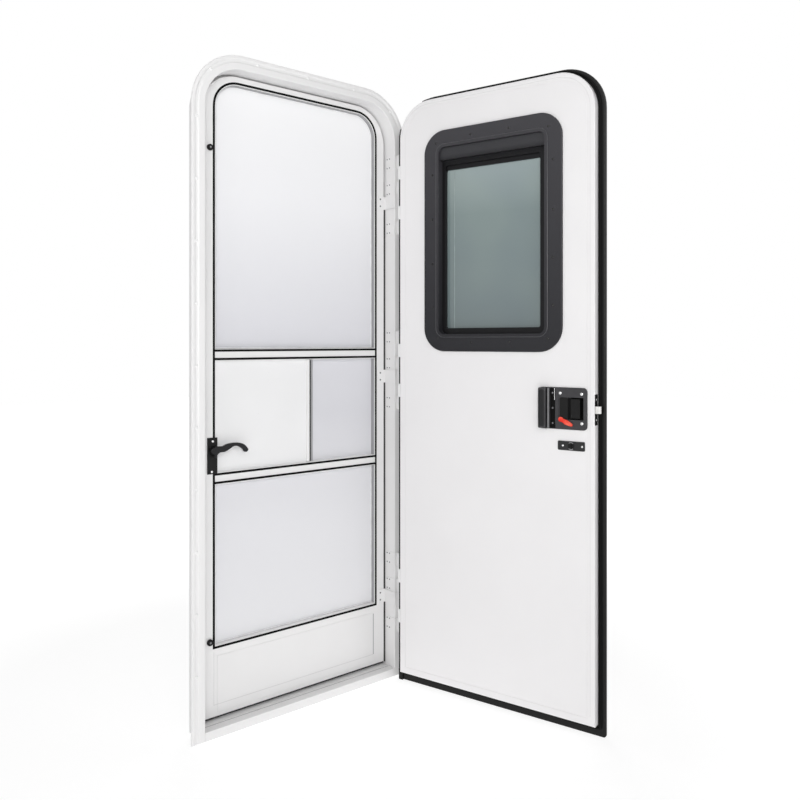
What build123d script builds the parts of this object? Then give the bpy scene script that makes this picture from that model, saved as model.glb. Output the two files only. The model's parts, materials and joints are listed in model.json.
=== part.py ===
from build123d import *
import os

# Caravan entry door: a bent aluminium frame for a cut-out in the van wall, an insulated outer door
# and an inner screen door, both turning on the same three hinge pins.
# Row frame: +X to the hinge side as seen from outside, +Y into the van, +Z up, millimetres.
# The origin is the middle of the cut-out's lower edge, on the outer skin of the van.
# The outer door is drawn closed and then swung to its open resting place.

# Cut-out in the van wall
CUTOUT_WIDTH = 660.0
CUTOUT_HEIGHT = 1778.0
FRAME_PLAY = 1.0

# Frame profile: w runs outwards from the clear opening, y runs into the van
JAMB_WALL = 12.0
FLANGE_LAP = 25.0
FLANGE_THICK = 5.0
FLANGE_GROOVE_WIDTH = 13.0
FLANGE_GROOVE_SLOPE = 4.0
FLANGE_GROOVE_DEPTH = 2.0
FLANGE_LIP_WIDTH = 8.0
FRAME_DEPTH = 69.0
STOP_THICK = 4.0
STOP_WIDTH = 12.0
OPENING_CORNER_R = 112.0
FRONT_CORNER_R = 2.0
SCREW_HOLE_R = 2.25
SCREW_FIRST_Z = 160.0
SCREW_LAST_DROP = 35.0
SCREW_ROWS = 10
HEAD_SCREWS = 3

# Sill
SILL_DROP = 14.0
TREAD_Z = 9.0
SILL_STOP_HEIGHT = 12.0
SILL_GROOVE_Y = 22.0
SILL_GROOVE_WIDTH = 3.0
SILL_GROOVE_DEPTH = 1.5

# Hinges
PIN_OUT = 10.0
PIN_Y = -17.0
PIN_R = 3.0
PIN_CLEARANCE = 0.05
KNUCKLE_R = 6.0
KNUCKLES = 6
KNUCKLE_PITCH = 41.0
KNUCKLE_GAP = 0.6
LEAF_THICK = 2.0
UPPER_HINGE_DROP = 274.0
MIDDLE_HINGE_Z = 943.0
LOWER_HINGE_Z = 248.0
FRAME_LEAF_REACH = 38.0
SCREEN_LEAF_REACH = 22.0

# Outer door, drawn closed
DOOR_OPEN_ANGLE = 107.0
DOOR_CLEARANCE = 5.0
PAN_INNER_Y = 12.0
PAN_DEPTH = 25.0
PAN_CORNER_R = 106.0
PAN_EDGE_R = 3.0
PAN_RIM = 20.0
PAN_RIM_WIDTH = 3.0
PAN_RIM_DEPTH = 0.8
LIP_THICK = 12.0
LIP_LATCH = 21.0
LIP_TOP = 15.0
LIP_HINGE = 7.0
LIP_BOTTOM = 33.0
LIP_FRAME_WIDTH = 24.0
LIP_BOTTOM_CORNER_R = 8.0
LIP_EDGE_R = 4.0
HINGE_TRIM = 5.0
HINGE_TRIM_DROP = 73.0
SKIN_SET_BACK = 1.0

# Window in the outer door
WINDOW_WIDTH = 438.0
WINDOW_HEIGHT = 656.0
WINDOW_CENTRE_X = -4.0
WINDOW_TOP_DROP = 101.0
WINDOW_CORNER_R = 69.0
WINDOW_BAND = 51.0
RING_THICK = 6.0
RING_EDGE_R = 3.0
RING_LIP_WIDTH = 9.0
RING_LIP_HEIGHT = 1.0
WINDOW_LAND = 12.0
SASH_HINGE_SIDE = 10.5
SASH_LATCH_SIDE = 21.5
SASH_BOTTOM = 18.0
SASH_TOP = 64.0
SASH_HEAD = 37.0
SASH_STEP = 13.0
SASH_CORNER_R = 6.0
SASH_THICK = 12.0
SASH_HEAD_THICK = 14.0
SASH_PLAY = 0.5
GLASS_THICK = 5.0
GLASS_FROM_SKIN = 3.0
OUTER_RING_THICK = 5.0
OUTER_RING_BAND = 34.0

# Inside latch of the outer door
LATCH_WIDTH = 138.0
LATCH_HEIGHT = 113.0
LATCH_EDGE_INSET = 20.0
LATCH_BELOW_WINDOW = 94.5
LATCH_PLATE_THICK = 4.0
LATCH_CORNER_R = 11.0
LATCH_EDGE_R = 1.5
GRIP_WIDTH = 23.0
GRIP_HEIGHT = 11.0
GRIP_GAP = 3.0
RIDGE_WIDTH = 6.0
RIDGE_HEIGHT = 6.0
CREST_SHARE = 0.45
CHANNEL_WIDTH = 15.0
CHANNEL_DEPTH = 3.0
BOSS_R = 3.0
BOSS_PITCH = 41.0
FLAP_WIDTH = 26.0
FLAP_DEPTH = 1.5
FLAP_CORNER_R = 5.0
CUP_WIDTH = 45.0
CUP_HEIGHT = 64.0
CUP_DEPTH = 16.0
CUP_INSET = 8.0
CUP_WALL = 2.0
PADDLE_THICK = 4.0
PADDLE_WIDTH = 28.0
PADDLE_GAP = 4.0
PADDLE_END_PLAY = 0.3
PADDLE_PIN_R = 3.0
PADDLE_RIB = 2.0
LOCK_LEVER_SHIFT = 3.5
LOCK_LEVER_DROP = 29.5
LOCK_LEVER_LENGTH = 36.0
LOCK_LEVER_ANGLE = 25.0
LOCK_TIP_R = 4.0
LOCK_WAIST_R = 5.0
LOCK_LEVER_THICK = 4.0
LOCK_HUB_R = 6.5
LOCK_BELLY_R = 6.5
KNOB_GAP = 0.2
BOLT_DROP = 1.0
BOLT_HEIGHT = 19.0
BOLT_WIDTH = 10.0
BOLT_LENGTH = 27.0
BOLT_THROW = 14.0
BOLT_Y = 4.5
BOLT_NOSE_R = 3.0
BOLT_CLEARANCE = 0.4
FACEPLATE_HEIGHT = 82.0
FACEPLATE_WIDTH = 20.0
FACEPLATE_Y = 1.0
FACEPLATE_THICK = 1.5
STRIKE_HEIGHT = 73.0
STRIKE_MARGIN = 12.0
STRIKE_PLAY = 1.5
STRIKE_WIDTH = 22.0
STRIKE_THICK = 1.5

# Deadlock below the latch
DEADLOCK_BELOW_LATCH = 31.0
DEADLOCK_WIDTH = 76.0
DEADLOCK_HEIGHT = 25.0
DEADLOCK_EDGE_INSET = 27.0
DEADLOCK_THICK = 3.0
DEADLOCK_CORNER_R = 3.0
SNIB_R = 8.0
SNIB_HEIGHT = 2.5
SNIB_BAR_WIDTH = 4.0
SNIB_BAR_HEIGHT = 3.0

# Outside handle
HANDLE_WIDTH = 120.0
HANDLE_HEIGHT = 110.0
HANDLE_THICK = 5.0
HANDLE_BAR_WIDTH = 30.0
HANDLE_BAR_LENGTH = 86.0
HANDLE_BAR_HEIGHT = 12.0
HANDLE_BAR_EDGE_R = 5.0

# Screen door
SCREEN_FRONT_Y = 43.0
SCREEN_THICK = 20.0
SCREEN_LATCH_CLEARANCE = 9.5
SCREEN_HINGE_CLEARANCE = 6.0
SCREEN_END_CLEARANCE = 4.0
SCREEN_CORNER_R = 108.0
SCREEN_EDGE_R = 2.0
SEAL_LATCH_INSET = 37.0
SEAL_HINGE_INSET = 32.5
SEAL_HEAD_DROP = 19.0
SEAL_BOTTOM_Z = 205.0
SEAL_WIDTH = 6.0
SEAL_CORNER_R = 73.0
SEAL_PROUD = 1.0
SEAL_DEPTH = 5.0
RAIL_CENTRES = {"upper": 996.0, "lower": 661.0}
RAIL_LINE_SPACING = 23.0
RAIL_CHANNEL_WIDTH = 8.0
RAIL_CHANNEL_DEPTH = 0.8
STEP_WIDTH = 5.0
MESH_THICK = 1.5
MESH_FROM_BACK = 3.0
HATCH_WIDTH = 300.5
HATCH_THICK = 2.0
HATCH_FROM_FRONT = 9.0
HATCH_BAR_WIDTH = 9.0
HATCH_BAR_DEPTH = 6.0
HATCH_BAR_EDGE_R = 1.5
HATCH_GAP = 1.0
HATCH_GROOVE_DEPTH = 5.0
HATCH_PLAY = 0.3
MULLION_WIDTH = 17.0
MULLION_SHOWS = 9.0
KICK_LINE_WIDTH = 3.0
KICK_LINE_DEPTH = 0.8
KICK_TOP_Z = 184.0
KICK_BOTTOM_Z = 27.0
BUMPER_R = 8.5
BUMPER_HEIGHT = 7.0
BUMPER_EDGE_R = 2.0
BUMPER_INSET = 25.0
UPPER_BUMPER_DROP = 207.0
LOWER_BUMPER_Z = 223.0

# Screen door lever
LEVER_PLATE_WIDTH = 29.0
LEVER_PLATE_HEIGHT = 98.0
LEVER_PLATE_THICK = 3.0
LEVER_PLATE_EDGE_R = 1.0
LEVER_INSET = 32.0
LEVER_PLATE_Z = 724.0
LEVER_RISE = 14.0
LEVER_SPINDLE_R = 4.0
LEVER_HUB_R = 9.5
LEVER_THICK = 7.0
LEVER_EDGE_R = 2.0
LEVER_REACH = 17.0

# Outline of the lever from its spindle: root, foot under the root, back, tip and belly of the scroll
LEVER_ROOT_TOP = 12.0
LEVER_FOOT = (5.0, -18.0)
LEVER_FOOT_CURVE = (9.0, -10.5)
LEVER_THROAT = (17.0, -4.8)
LEVER_BACK = (
    (25.0, 11.6), (34.0, 15.4), (46.0, 18.0), (59.0, 18.4), (73.0, 17.0), (86.0, 12.6), (95.5, 4.6),
    (100.5, -3.0))
LEVER_TIP = (94.5, -9.9)
LEVER_BELLY = (
    (87.0, -7.2), (83.0, -1.5), (77.0, 3.6), (70.0, 7.7), (63.0, 9.4), (56.5, 8.6), (49.0, 4.9),
    (40.0, -0.2), (30.0, -4.4))

# How far a cut runs past the face that it opens
CUT = 1.0

# Places that follow from the sizes above
OPENING_HALF = CUTOUT_WIDTH / 2 - FRAME_PLAY - JAMB_WALL
OPENING_TOP = CUTOUT_HEIGHT - FRAME_PLAY - JAMB_WALL
FLANGE_WIDTH = JAMB_WALL + FRAME_PLAY + FLANGE_LAP
FLANGE_FRONT = -FLANGE_THICK
ARCH_X = OPENING_HALF - OPENING_CORNER_R
ARCH_Z = OPENING_TOP - OPENING_CORNER_R
SCREW_W = FLANGE_WIDTH - FLANGE_LIP_WIDTH - FLANGE_GROOVE_WIDTH / 2
SCREW_PITCH = (ARCH_Z - SCREW_LAST_DROP - SCREW_FIRST_Z) / (SCREW_ROWS - 1)
STOP_FRONT = FRAME_DEPTH - STOP_THICK
PIN_X = OPENING_HALF + PIN_OUT
PIN_AXIS = Axis((PIN_X, PIN_Y, 0), (0, 0, 1))
HINGE_HALF = KNUCKLES * KNUCKLE_PITCH / 2
HINGE_CENTRES = {
    "upper": OPENING_TOP - UPPER_HINGE_DROP,
    "middle": MIDDLE_HINGE_Z,
    "lower": LOWER_HINGE_Z,
}
PAN_LATCH_X = -OPENING_HALF + DOOR_CLEARANCE
PAN_HINGE_X = OPENING_HALF - DOOR_CLEARANCE
PAN_TOP = OPENING_TOP - DOOR_CLEARANCE
PAN_BOTTOM = TREAD_Z + DOOR_CLEARANCE
LIP_BACK = PAN_INNER_Y - PAN_DEPTH
LIP_FRONT = LIP_BACK - LIP_THICK
SKIN_FRONT = LIP_FRONT + SKIN_SET_BACK
WINDOW_CENTRE_Z = PAN_TOP - WINDOW_TOP_DROP - WINDOW_HEIGHT / 2
GLASS_FRONT_Y = SKIN_FRONT + GLASS_FROM_SKIN
GLASS_BACK_Y = GLASS_FRONT_Y + GLASS_THICK
SASH_FRONT_Y = GLASS_BACK_Y + SASH_THICK
LATCH_X = PAN_LATCH_X + LATCH_EDGE_INSET + LATCH_WIDTH / 2
LATCH_Z = WINDOW_CENTRE_Z - WINDOW_HEIGHT / 2 - LATCH_BELOW_WINDOW - LATCH_HEIGHT / 2
LATCH_FACE_Y = PAN_INNER_Y + LATCH_PLATE_THICK
CUP_X = PAN_LATCH_X + LATCH_EDGE_INSET + CUP_INSET + CUP_WIDTH / 2
PADDLE_X = CUP_X + CUP_WIDTH / 2 - CUP_WALL - PADDLE_PIN_R - PADDLE_END_PLAY
LOCK_LEVER_X = LATCH_X + LOCK_LEVER_SHIFT
LOCK_LEVER_Z = LATCH_Z - LOCK_LEVER_DROP
BOLT_Z = LATCH_Z - BOLT_DROP
DEADLOCK_X = PAN_LATCH_X + DEADLOCK_EDGE_INSET + DEADLOCK_WIDTH / 2
DEADLOCK_Z = LATCH_Z - LATCH_HEIGHT / 2 - DEADLOCK_BELOW_LATCH - DEADLOCK_HEIGHT / 2
SCREEN_BACK_Y = SCREEN_FRONT_Y + SCREEN_THICK
SCREEN_LATCH_X = -OPENING_HALF + SCREEN_LATCH_CLEARANCE
SCREEN_HINGE_X = OPENING_HALF - SCREEN_HINGE_CLEARANCE
SCREEN_TOP = OPENING_TOP - SCREEN_END_CLEARANCE
SCREEN_BOTTOM = TREAD_Z + SCREEN_END_CLEARANCE
SCREEN_SPRING = SCREEN_TOP - SCREEN_CORNER_R
SEAL_LATCH_X = SCREEN_LATCH_X + SEAL_LATCH_INSET
SEAL_HINGE_X = SCREEN_HINGE_X - SEAL_HINGE_INSET
SEAL_TOP_Z = SCREEN_TOP - SEAL_HEAD_DROP
MESH_BACK_Y = SCREEN_BACK_Y - MESH_FROM_BACK
MESH_FRONT_Y = MESH_BACK_Y - MESH_THICK
MESH_LOW_X = SEAL_LATCH_X + STEP_WIDTH
MESH_HIGH_X = SEAL_HINGE_X - STEP_WIDTH
RAIL_HALF = RAIL_LINE_SPACING / 2 + STEP_WIDTH
HATCH_FRONT_Y = SCREEN_FRONT_Y + HATCH_FROM_FRONT
HATCH_BACK_Y = HATCH_FRONT_Y + HATCH_THICK
HATCH_LOW_X = MESH_LOW_X + HATCH_GAP
HATCH_HIGH_X = HATCH_LOW_X + HATCH_WIDTH
MULLION_X = HATCH_HIGH_X + MULLION_SHOWS - MULLION_WIDTH
LEVER_X = SCREEN_LATCH_X + LEVER_INSET
LEVER_Z = LEVER_PLATE_Z + LEVER_RISE
BUMPER_X = SCREEN_LATCH_X + BUMPER_INSET
BUMPER_HEIGHTS = (SCREEN_TOP - UPPER_BUMPER_DROP, LOWER_BUMPER_Z)


def slab(outline, y_front, y_back):
    """Extrude an outline, drawn as seen from outside, from y_front to y_back."""
    return extrude(Plane.XZ.offset(-y_front) * outline, amount=y_front - y_back)


def plain(x_low, x_high, z_low, z_high):
    """Upright rectangle with square corners."""
    return Pos((x_low + x_high) / 2, (z_low + z_high) / 2) * Rectangle(x_high - x_low, z_high - z_low)


def arched(x_low, x_high, z_low, z_high, radius):
    """Upright rectangle whose two top corners are round."""
    outline = plain(x_low, x_high, z_low, z_high)
    return fillet(outline.vertices().group_by(Axis.Y)[-1], radius)


def block(x_low, x_high, y_low, y_high, z_low, z_high):
    """Box between two corners."""
    return slab(plain(x_low, x_high, z_low, z_high), y_low, y_high)


def rod(x, z, radius, y_low, y_high):
    """Round bar along Y."""
    return slab(Pos(x, z) * Circle(radius), y_low, y_high)


def post(outline, z_low, z_high):
    """Extrude a plan outline upwards."""
    return extrude(Pos(0, 0, z_low) * outline, amount=z_high - z_low)


def soften_inside(solid, radius):
    """Round the edges of the face that looks into the van."""
    return fillet(solid.edges().group_by(Axis.Y)[-1], radius)


def soften_outside(solid, radius):
    """Round the edges of the face that looks out of the van."""
    return fillet(solid.edges().group_by(Axis.Y)[0], radius)


def swing_open(shape):
    """Turn a piece of the closed outer door to its open place."""
    return shape.rotate(PIN_AXIS, DOOR_OPEN_ANGLE)


# Frame

def frame_section(side):
    """Plan of one jamb: grooved flange, wall and screen stop. side is -1 at the latch, 1 at the hinges."""
    groove_out = FLANGE_WIDTH - FLANGE_LIP_WIDTH
    groove_in = groove_out - FLANGE_GROOVE_WIDTH
    groove_floor = FLANGE_FRONT + FLANGE_GROOVE_DEPTH
    points = [
        (0, FLANGE_FRONT),
        (groove_in, FLANGE_FRONT),
        (groove_in + FLANGE_GROOVE_SLOPE, groove_floor),
        (groove_out - FLANGE_GROOVE_SLOPE, groove_floor),
        (groove_out, FLANGE_FRONT),
        (FLANGE_WIDTH, FLANGE_FRONT),
        (FLANGE_WIDTH, 0),
        (JAMB_WALL, 0),
        (JAMB_WALL, FRAME_DEPTH),
        (-STOP_WIDTH, FRAME_DEPTH),
        (-STOP_WIDTH, STOP_FRONT),
        (0, STOP_FRONT),
    ]
    corners = [(side * (OPENING_HALF + w), y) for w, y in points]
    face = make_face(Polyline(*corners, close=True))
    front = face.vertices().group_by(Axis.Y)[0]
    return fillet(front, FRONT_CORNER_R)


def screw_hole(x, z):
    """Hole for a screw through the flange."""
    return rod(x, z, SCREW_HOLE_R, FLANGE_FRONT - CUT, CUT)


def jamb(side):
    """Upright of the frame, from the foot to the spring of the arch."""
    upright = post(frame_section(side), -SILL_DROP, ARCH_Z)
    screw_x = side * (OPENING_HALF + SCREW_W)
    for row in range(SCREW_ROWS):
        upright -= screw_hole(screw_x, SCREW_FIRST_Z + row * SCREW_PITCH)
    return upright


def strike_pocket():
    """Slot for the latch bolt through the strike plate and the latch jamb."""
    half = BOLT_WIDTH / 2 + STRIKE_PLAY
    return block(
        -OPENING_HALF - JAMB_WALL, -OPENING_HALF + CUT, BOLT_Y - half, BOLT_Y + half,
        BOLT_Z - STRIKE_HEIGHT / 2, BOLT_Z + STRIKE_HEIGHT / 2)


def strike_blank(x_high):
    """Outline of the strike plate, let into the jamb up to x_high."""
    y_front = FLANGE_FRONT + FRONT_CORNER_R
    half = STRIKE_HEIGHT / 2 + STRIKE_MARGIN
    return block(
        -OPENING_HALF - STRIKE_THICK, x_high, y_front, y_front + STRIKE_WIDTH, BOLT_Z - half, BOLT_Z + half)


def latch_jamb():
    """Jamb with the pocket that takes the latch bolt."""
    return jamb(-1) - strike_pocket() - strike_blank(-OPENING_HALF + CUT)


def strike_plate():
    """Plate round the bolt pocket, flush with the latch jamb."""
    return strike_blank(-OPENING_HALF) - strike_pocket()


def head_arch():
    """Head of the frame, bent round two corners."""
    section = frame_section(-1)
    corner_axis = Axis((-ARCH_X, 0, ARCH_Z), (0, 1, 0))
    corner = revolve(Pos(0, 0, ARCH_Z) * section, corner_axis, 90)
    top_section = Pos(-ARCH_X, 0, ARCH_Z) * Rot(0, 90, 0) * Pos(ARCH_X, 0, 0) * section
    straight = extrude(top_section, amount=2 * ARCH_X, dir=(1, 0, 0))
    arch = corner + straight + mirror(corner, Plane.YZ)
    screw_r = OPENING_CORNER_R + SCREW_W
    diagonal = screw_r * 0.5 ** 0.5
    for side in (-1, 1):
        arch -= screw_hole(side * (ARCH_X + diagonal), ARCH_Z + diagonal)
    for place in range(HEAD_SCREWS):
        offset = (place - (HEAD_SCREWS - 1) / 2) * SCREW_PITCH
        arch -= screw_hole(offset, ARCH_Z + screw_r)
    return arch


def sill():
    """Tread between the jambs, with a front nose and a stop behind the screen door."""
    stop_z = TREAD_Z + SILL_STOP_HEIGHT
    groove_back = SILL_GROOVE_Y + SILL_GROOVE_WIDTH
    groove_floor = TREAD_Z - SILL_GROOVE_DEPTH
    points = [
        (FLANGE_FRONT, -SILL_DROP),
        (0, -SILL_DROP),
        (0, FRAME_PLAY),
        (FRAME_DEPTH, FRAME_PLAY),
        (FRAME_DEPTH, stop_z),
        (STOP_FRONT, stop_z),
        (STOP_FRONT, TREAD_Z),
        (groove_back, TREAD_Z),
        (groove_back, groove_floor),
        (SILL_GROOVE_Y, groove_floor),
        (SILL_GROOVE_Y, TREAD_Z),
        (FLANGE_FRONT, TREAD_Z),
    ]
    section = make_face(Polyline(*[(0, y, z) for y, z in points], close=True))
    bar = extrude(section, amount=OPENING_HALF, both=True, dir=(1, 0, 0))
    for side in (-1, 1):
        stop_x = sorted((side * (OPENING_HALF - STOP_WIDTH), side * (OPENING_HALF + CUT)))
        bar -= block(*stop_x, STOP_FRONT, FRAME_DEPTH + CUT, -SILL_DROP - CUT, stop_z + CUT)
    return bar


# Hinges

def knuckle_span(centre, place):
    """Bottom and top of one of the six knuckles, counted from the top."""
    top = centre + HINGE_HALF - place * KNUCKLE_PITCH - KNUCKLE_GAP / 2
    return top - KNUCKLE_PITCH + KNUCKLE_GAP, top


def leaf_plan(points):
    """Plan of a hinge leaf: a bored knuckle and the bent plate that carries it."""
    plate = make_face(Polyline(*points, close=True))
    eye = Pos(PIN_X, PIN_Y) * Circle(KNUCKLE_R)
    return eye + plate - Pos(PIN_X, PIN_Y) * Circle(PIN_R + PIN_CLEARANCE)


def frame_leaf_plan():
    """Leaf on the hinge jamb: round the front corner of the flange and along the clear opening."""
    seat = FLANGE_FRONT
    return leaf_plan([
        (PIN_X - KNUCKLE_R / 2, PIN_Y),
        (PIN_X + KNUCKLE_R, PIN_Y),
        (PIN_X + KNUCKLE_R, seat),
        (OPENING_HALF, seat),
        (OPENING_HALF, FRAME_LEAF_REACH),
        (OPENING_HALF - LEAF_THICK, FRAME_LEAF_REACH),
        (OPENING_HALF - LEAF_THICK, seat - LEAF_THICK),
        (PIN_X - KNUCKLE_R / 2, seat - LEAF_THICK),
    ])


def door_leaf_plan():
    """Leaf on the outer door: behind the lip, along the hinge edge of the pan and round its trim strip."""
    leaf_back = PIN_Y + KNUCKLE_R
    strip_x = PAN_HINGE_X - HINGE_TRIM
    strip_y = PAN_INNER_Y - PAN_EDGE_R
    return leaf_plan([
        (PIN_X, leaf_back - LEAF_THICK),
        (PIN_X, leaf_back),
        (PAN_HINGE_X + LEAF_THICK, leaf_back),
        (PAN_HINGE_X + LEAF_THICK, strip_y + LEAF_THICK),
        (strip_x, strip_y + LEAF_THICK),
        (strip_x, strip_y),
        (PAN_HINGE_X, strip_y),
        (PAN_HINGE_X, LIP_BACK),
        (PIN_X - KNUCKLE_R, LIP_BACK),
    ])


def screen_leaf_plan():
    """Leaf on the screen door: a cranked arm past the outer door's edge and onto the stile."""
    arm_x = SCREEN_HINGE_X + LEAF_THICK
    bend = PIN_Y + KNUCKLE_R + LEAF_THICK
    tail = SCREEN_HINGE_X - SCREEN_LEAF_REACH
    return leaf_plan([
        (PIN_X - KNUCKLE_R / 2, PIN_Y),
        (PIN_X + KNUCKLE_R / 2, PIN_Y),
        (PIN_X + KNUCKLE_R / 2, bend),
        (arm_x + LEAF_THICK, bend),
        (arm_x + LEAF_THICK, SCREEN_FRONT_Y),
        (tail, SCREEN_FRONT_Y),
        (tail, SCREEN_FRONT_Y - LEAF_THICK),
        (arm_x, SCREEN_FRONT_Y - LEAF_THICK),
        (arm_x, bend - LEAF_THICK),
        (PIN_X - KNUCKLE_R / 2, bend - LEAF_THICK),
    ])


def leaves(plan, centre, places):
    """Leaves of one kind on one hinge, each as tall as its knuckle."""
    return Compound(children=[post(plan, *knuckle_span(centre, place)) for place in places])


def hinge_pin(centre):
    """Pin through all six knuckles."""
    return post(Pos(PIN_X, PIN_Y) * Circle(PIN_R), centre - HINGE_HALF, centre + HINGE_HALF)


# Outer door, drawn closed

def window_outline(inset):
    """Outline of the window ring, moved inwards by an inset."""
    return Pos(WINDOW_CENTRE_X, WINDOW_CENTRE_Z) * RectangleRounded(
        WINDOW_WIDTH - 2 * inset, WINDOW_HEIGHT - 2 * inset, WINDOW_CORNER_R - inset)


def window_hole(y_front, y_back):
    """Cut for the window."""
    return slab(window_outline(WINDOW_BAND - WINDOW_LAND), y_front, y_back)


def cup_block(grow, y_front, y_back):
    """Outline of the latch cup, grown all round, between two depths."""
    half_x = CUP_WIDTH / 2 + grow
    half_z = CUP_HEIGHT / 2 + grow
    return block(CUP_X - half_x, CUP_X + half_x, y_front, y_back, LATCH_Z - half_z, LATCH_Z + half_z)


def bolt_bar(gap, x_high):
    """Space of the latch bolt, larger all round by a gap."""
    half_y = BOLT_WIDTH / 2 + gap
    half_z = BOLT_HEIGHT / 2 + gap
    x_low = PAN_LATCH_X - BOLT_THROW
    return block(x_low, x_high, BOLT_Y - half_y, BOLT_Y + half_y, BOLT_Z - half_z, BOLT_Z + half_z)


def faceplate_blank(x_low):
    """Outline of the bolt's faceplate, let into the pan's edge from x_low."""
    half_y = FACEPLATE_WIDTH / 2
    half_z = FACEPLATE_HEIGHT / 2
    return block(
        x_low, PAN_LATCH_X + FACEPLATE_THICK, FACEPLATE_Y - half_y, FACEPLATE_Y + half_y,
        BOLT_Z - half_z, BOLT_Z + half_z)


def pan_outline(inset, trim=HINGE_TRIM):
    """Outline of the pan, moved inwards by an inset; a trim strip takes its hinge edge."""
    return arched(
        PAN_LATCH_X + inset, PAN_HINGE_X - trim - inset,
        PAN_BOTTOM + inset, PAN_TOP - inset, PAN_CORNER_R - inset)


def inner_pan():
    """Insulated pan that enters the frame, with a pressed line round its rim."""
    body = soften_inside(slab(pan_outline(0), LIP_BACK, PAN_INNER_Y), PAN_EDGE_R)
    rim_line = pan_outline(PAN_RIM) - pan_outline(PAN_RIM + PAN_RIM_WIDTH)
    body -= slab(rim_line, PAN_INNER_Y - PAN_RIM_DEPTH, PAN_INNER_Y + CUT)
    body -= window_hole(LIP_BACK - CUT, PAN_INNER_Y + CUT)
    body -= cup_block(0, PAN_INNER_Y - CUP_DEPTH, PAN_INNER_Y + CUT)
    body -= bolt_bar(BOLT_CLEARANCE, PAN_LATCH_X + BOLT_LENGTH + BOLT_CLEARANCE)
    return body - faceplate_blank(PAN_LATCH_X - CUT)


def lip_outline(inset):
    """Outline of the lip that laps the frame, moved inwards by an inset."""
    outline = arched(
        PAN_LATCH_X - LIP_LATCH + inset, PAN_HINGE_X + LIP_HINGE - inset,
        PAN_BOTTOM - LIP_BOTTOM + inset, PAN_TOP + LIP_TOP - inset,
        PAN_CORNER_R + LIP_TOP - inset)
    return fillet(outline.vertices().group_by(Axis.Y)[0], LIP_BOTTOM_CORNER_R)


def edge_trim():
    """Black lip round the outer door, with a strip along the hinge edge of the pan."""
    ring = slab(lip_outline(0), LIP_FRONT, LIP_BACK)
    ring = soften_outside(soften_inside(ring, LIP_EDGE_R), LIP_EDGE_R)
    ring -= slab(lip_outline(LIP_FRAME_WIDTH), LIP_FRONT - CUT, LIP_BACK + CUT)
    strip = slab(pan_outline(0, 0) - pan_outline(0), LIP_BACK, PAN_INNER_Y - PAN_EDGE_R)
    return ring + (strip & block(
        WINDOW_CENTRE_X, PAN_HINGE_X, LIP_BACK, PAN_INNER_Y, PAN_BOTTOM, PAN_TOP - HINGE_TRIM_DROP))


def outer_panel():
    """Outer skin and core inside the lip."""
    body = slab(lip_outline(LIP_FRAME_WIDTH), SKIN_FRONT, LIP_BACK)
    return body - window_hole(SKIN_FRONT - CUT, LIP_BACK + CUT)


def window_collar():
    """Outline of the sleeve round the pane."""
    return window_outline(WINDOW_BAND - RING_LIP_WIDTH) - window_outline(WINDOW_BAND)


def window_inner_ring():
    """Clamp ring on the inside of the window, with a raised lip and a sleeve down to the pane."""
    face_y = PAN_INNER_Y + RING_THICK
    band = soften_inside(slab(window_outline(0), PAN_INNER_Y, face_y), RING_EDGE_R)
    band -= slab(window_outline(WINDOW_BAND), PAN_INNER_Y - CUT, face_y + CUT)
    return band + slab(window_collar(), GLASS_BACK_Y, face_y + RING_LIP_HEIGHT)


def sash_outline(top, grow):
    """Opening of the sash, its head lowered by top, larger all round by grow."""
    inset = WINDOW_WIDTH / 2 - WINDOW_BAND + grow
    x_low = WINDOW_CENTRE_X - inset + SASH_LATCH_SIDE
    x_high = WINDOW_CENTRE_X + inset - SASH_HINGE_SIDE
    z_low = WINDOW_CENTRE_Z - WINDOW_HEIGHT / 2 + WINDOW_BAND + SASH_BOTTOM - grow
    z_high = WINDOW_CENTRE_Z + WINDOW_HEIGHT / 2 - WINDOW_BAND - top + grow
    outline = plain(x_low, x_high, z_low, z_high)
    return fillet(outline.vertices(), SASH_CORNER_R)


def window_sash():
    """Black inner frame of the pane, with a deeper head rail and a step under it."""
    outline = window_outline(WINDOW_BAND + SASH_PLAY)
    sash = slab(outline - sash_outline(SASH_TOP, 0), GLASS_BACK_Y, SASH_FRONT_Y)
    sash -= slab(sash_outline(SASH_TOP - SASH_STEP, 0), SASH_FRONT_Y - SASH_STEP / 2, SASH_FRONT_Y + CUT)
    rail = outline - plain(
        WINDOW_CENTRE_X - WINDOW_WIDTH / 2, WINDOW_CENTRE_X + WINDOW_WIDTH / 2,
        WINDOW_CENTRE_Z - WINDOW_HEIGHT / 2, WINDOW_CENTRE_Z + WINDOW_HEIGHT / 2 - WINDOW_BAND - SASH_HEAD)
    return sash + slab(rail, SASH_FRONT_Y, SASH_FRONT_Y + SASH_HEAD_THICK)


def window_outer_ring():
    """Flange of the window on the outer skin, with a sleeve up to the pane."""
    face_y = SKIN_FRONT - OUTER_RING_THICK
    outside = window_outline(WINDOW_BAND - OUTER_RING_BAND)
    band = soften_outside(slab(outside, face_y, SKIN_FRONT), RING_EDGE_R)
    band -= slab(window_outline(WINDOW_BAND), face_y - CUT, SKIN_FRONT + CUT)
    return band + slab(window_collar(), SKIN_FRONT, GLASS_FRONT_Y)


def window_glass():
    """Tinted pane between the two rings."""
    return slab(window_outline(WINDOW_BAND - WINDOW_LAND), GLASS_FRONT_Y, GLASS_BACK_Y)


def grip_bar(x_high, width, height):
    """Upright ridge on the latch plate, rounded on its crest."""
    half = LATCH_HEIGHT / 2 - LATCH_EDGE_R
    bar = block(
        x_high - width, x_high, LATCH_FACE_Y, LATCH_FACE_Y + height, LATCH_Z - half, LATCH_Z + half)
    crest = bar.edges().filter_by(Axis.Z).group_by(Axis.Y)[-1]
    return fillet(crest, min(width, height) * CREST_SHARE)


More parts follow.
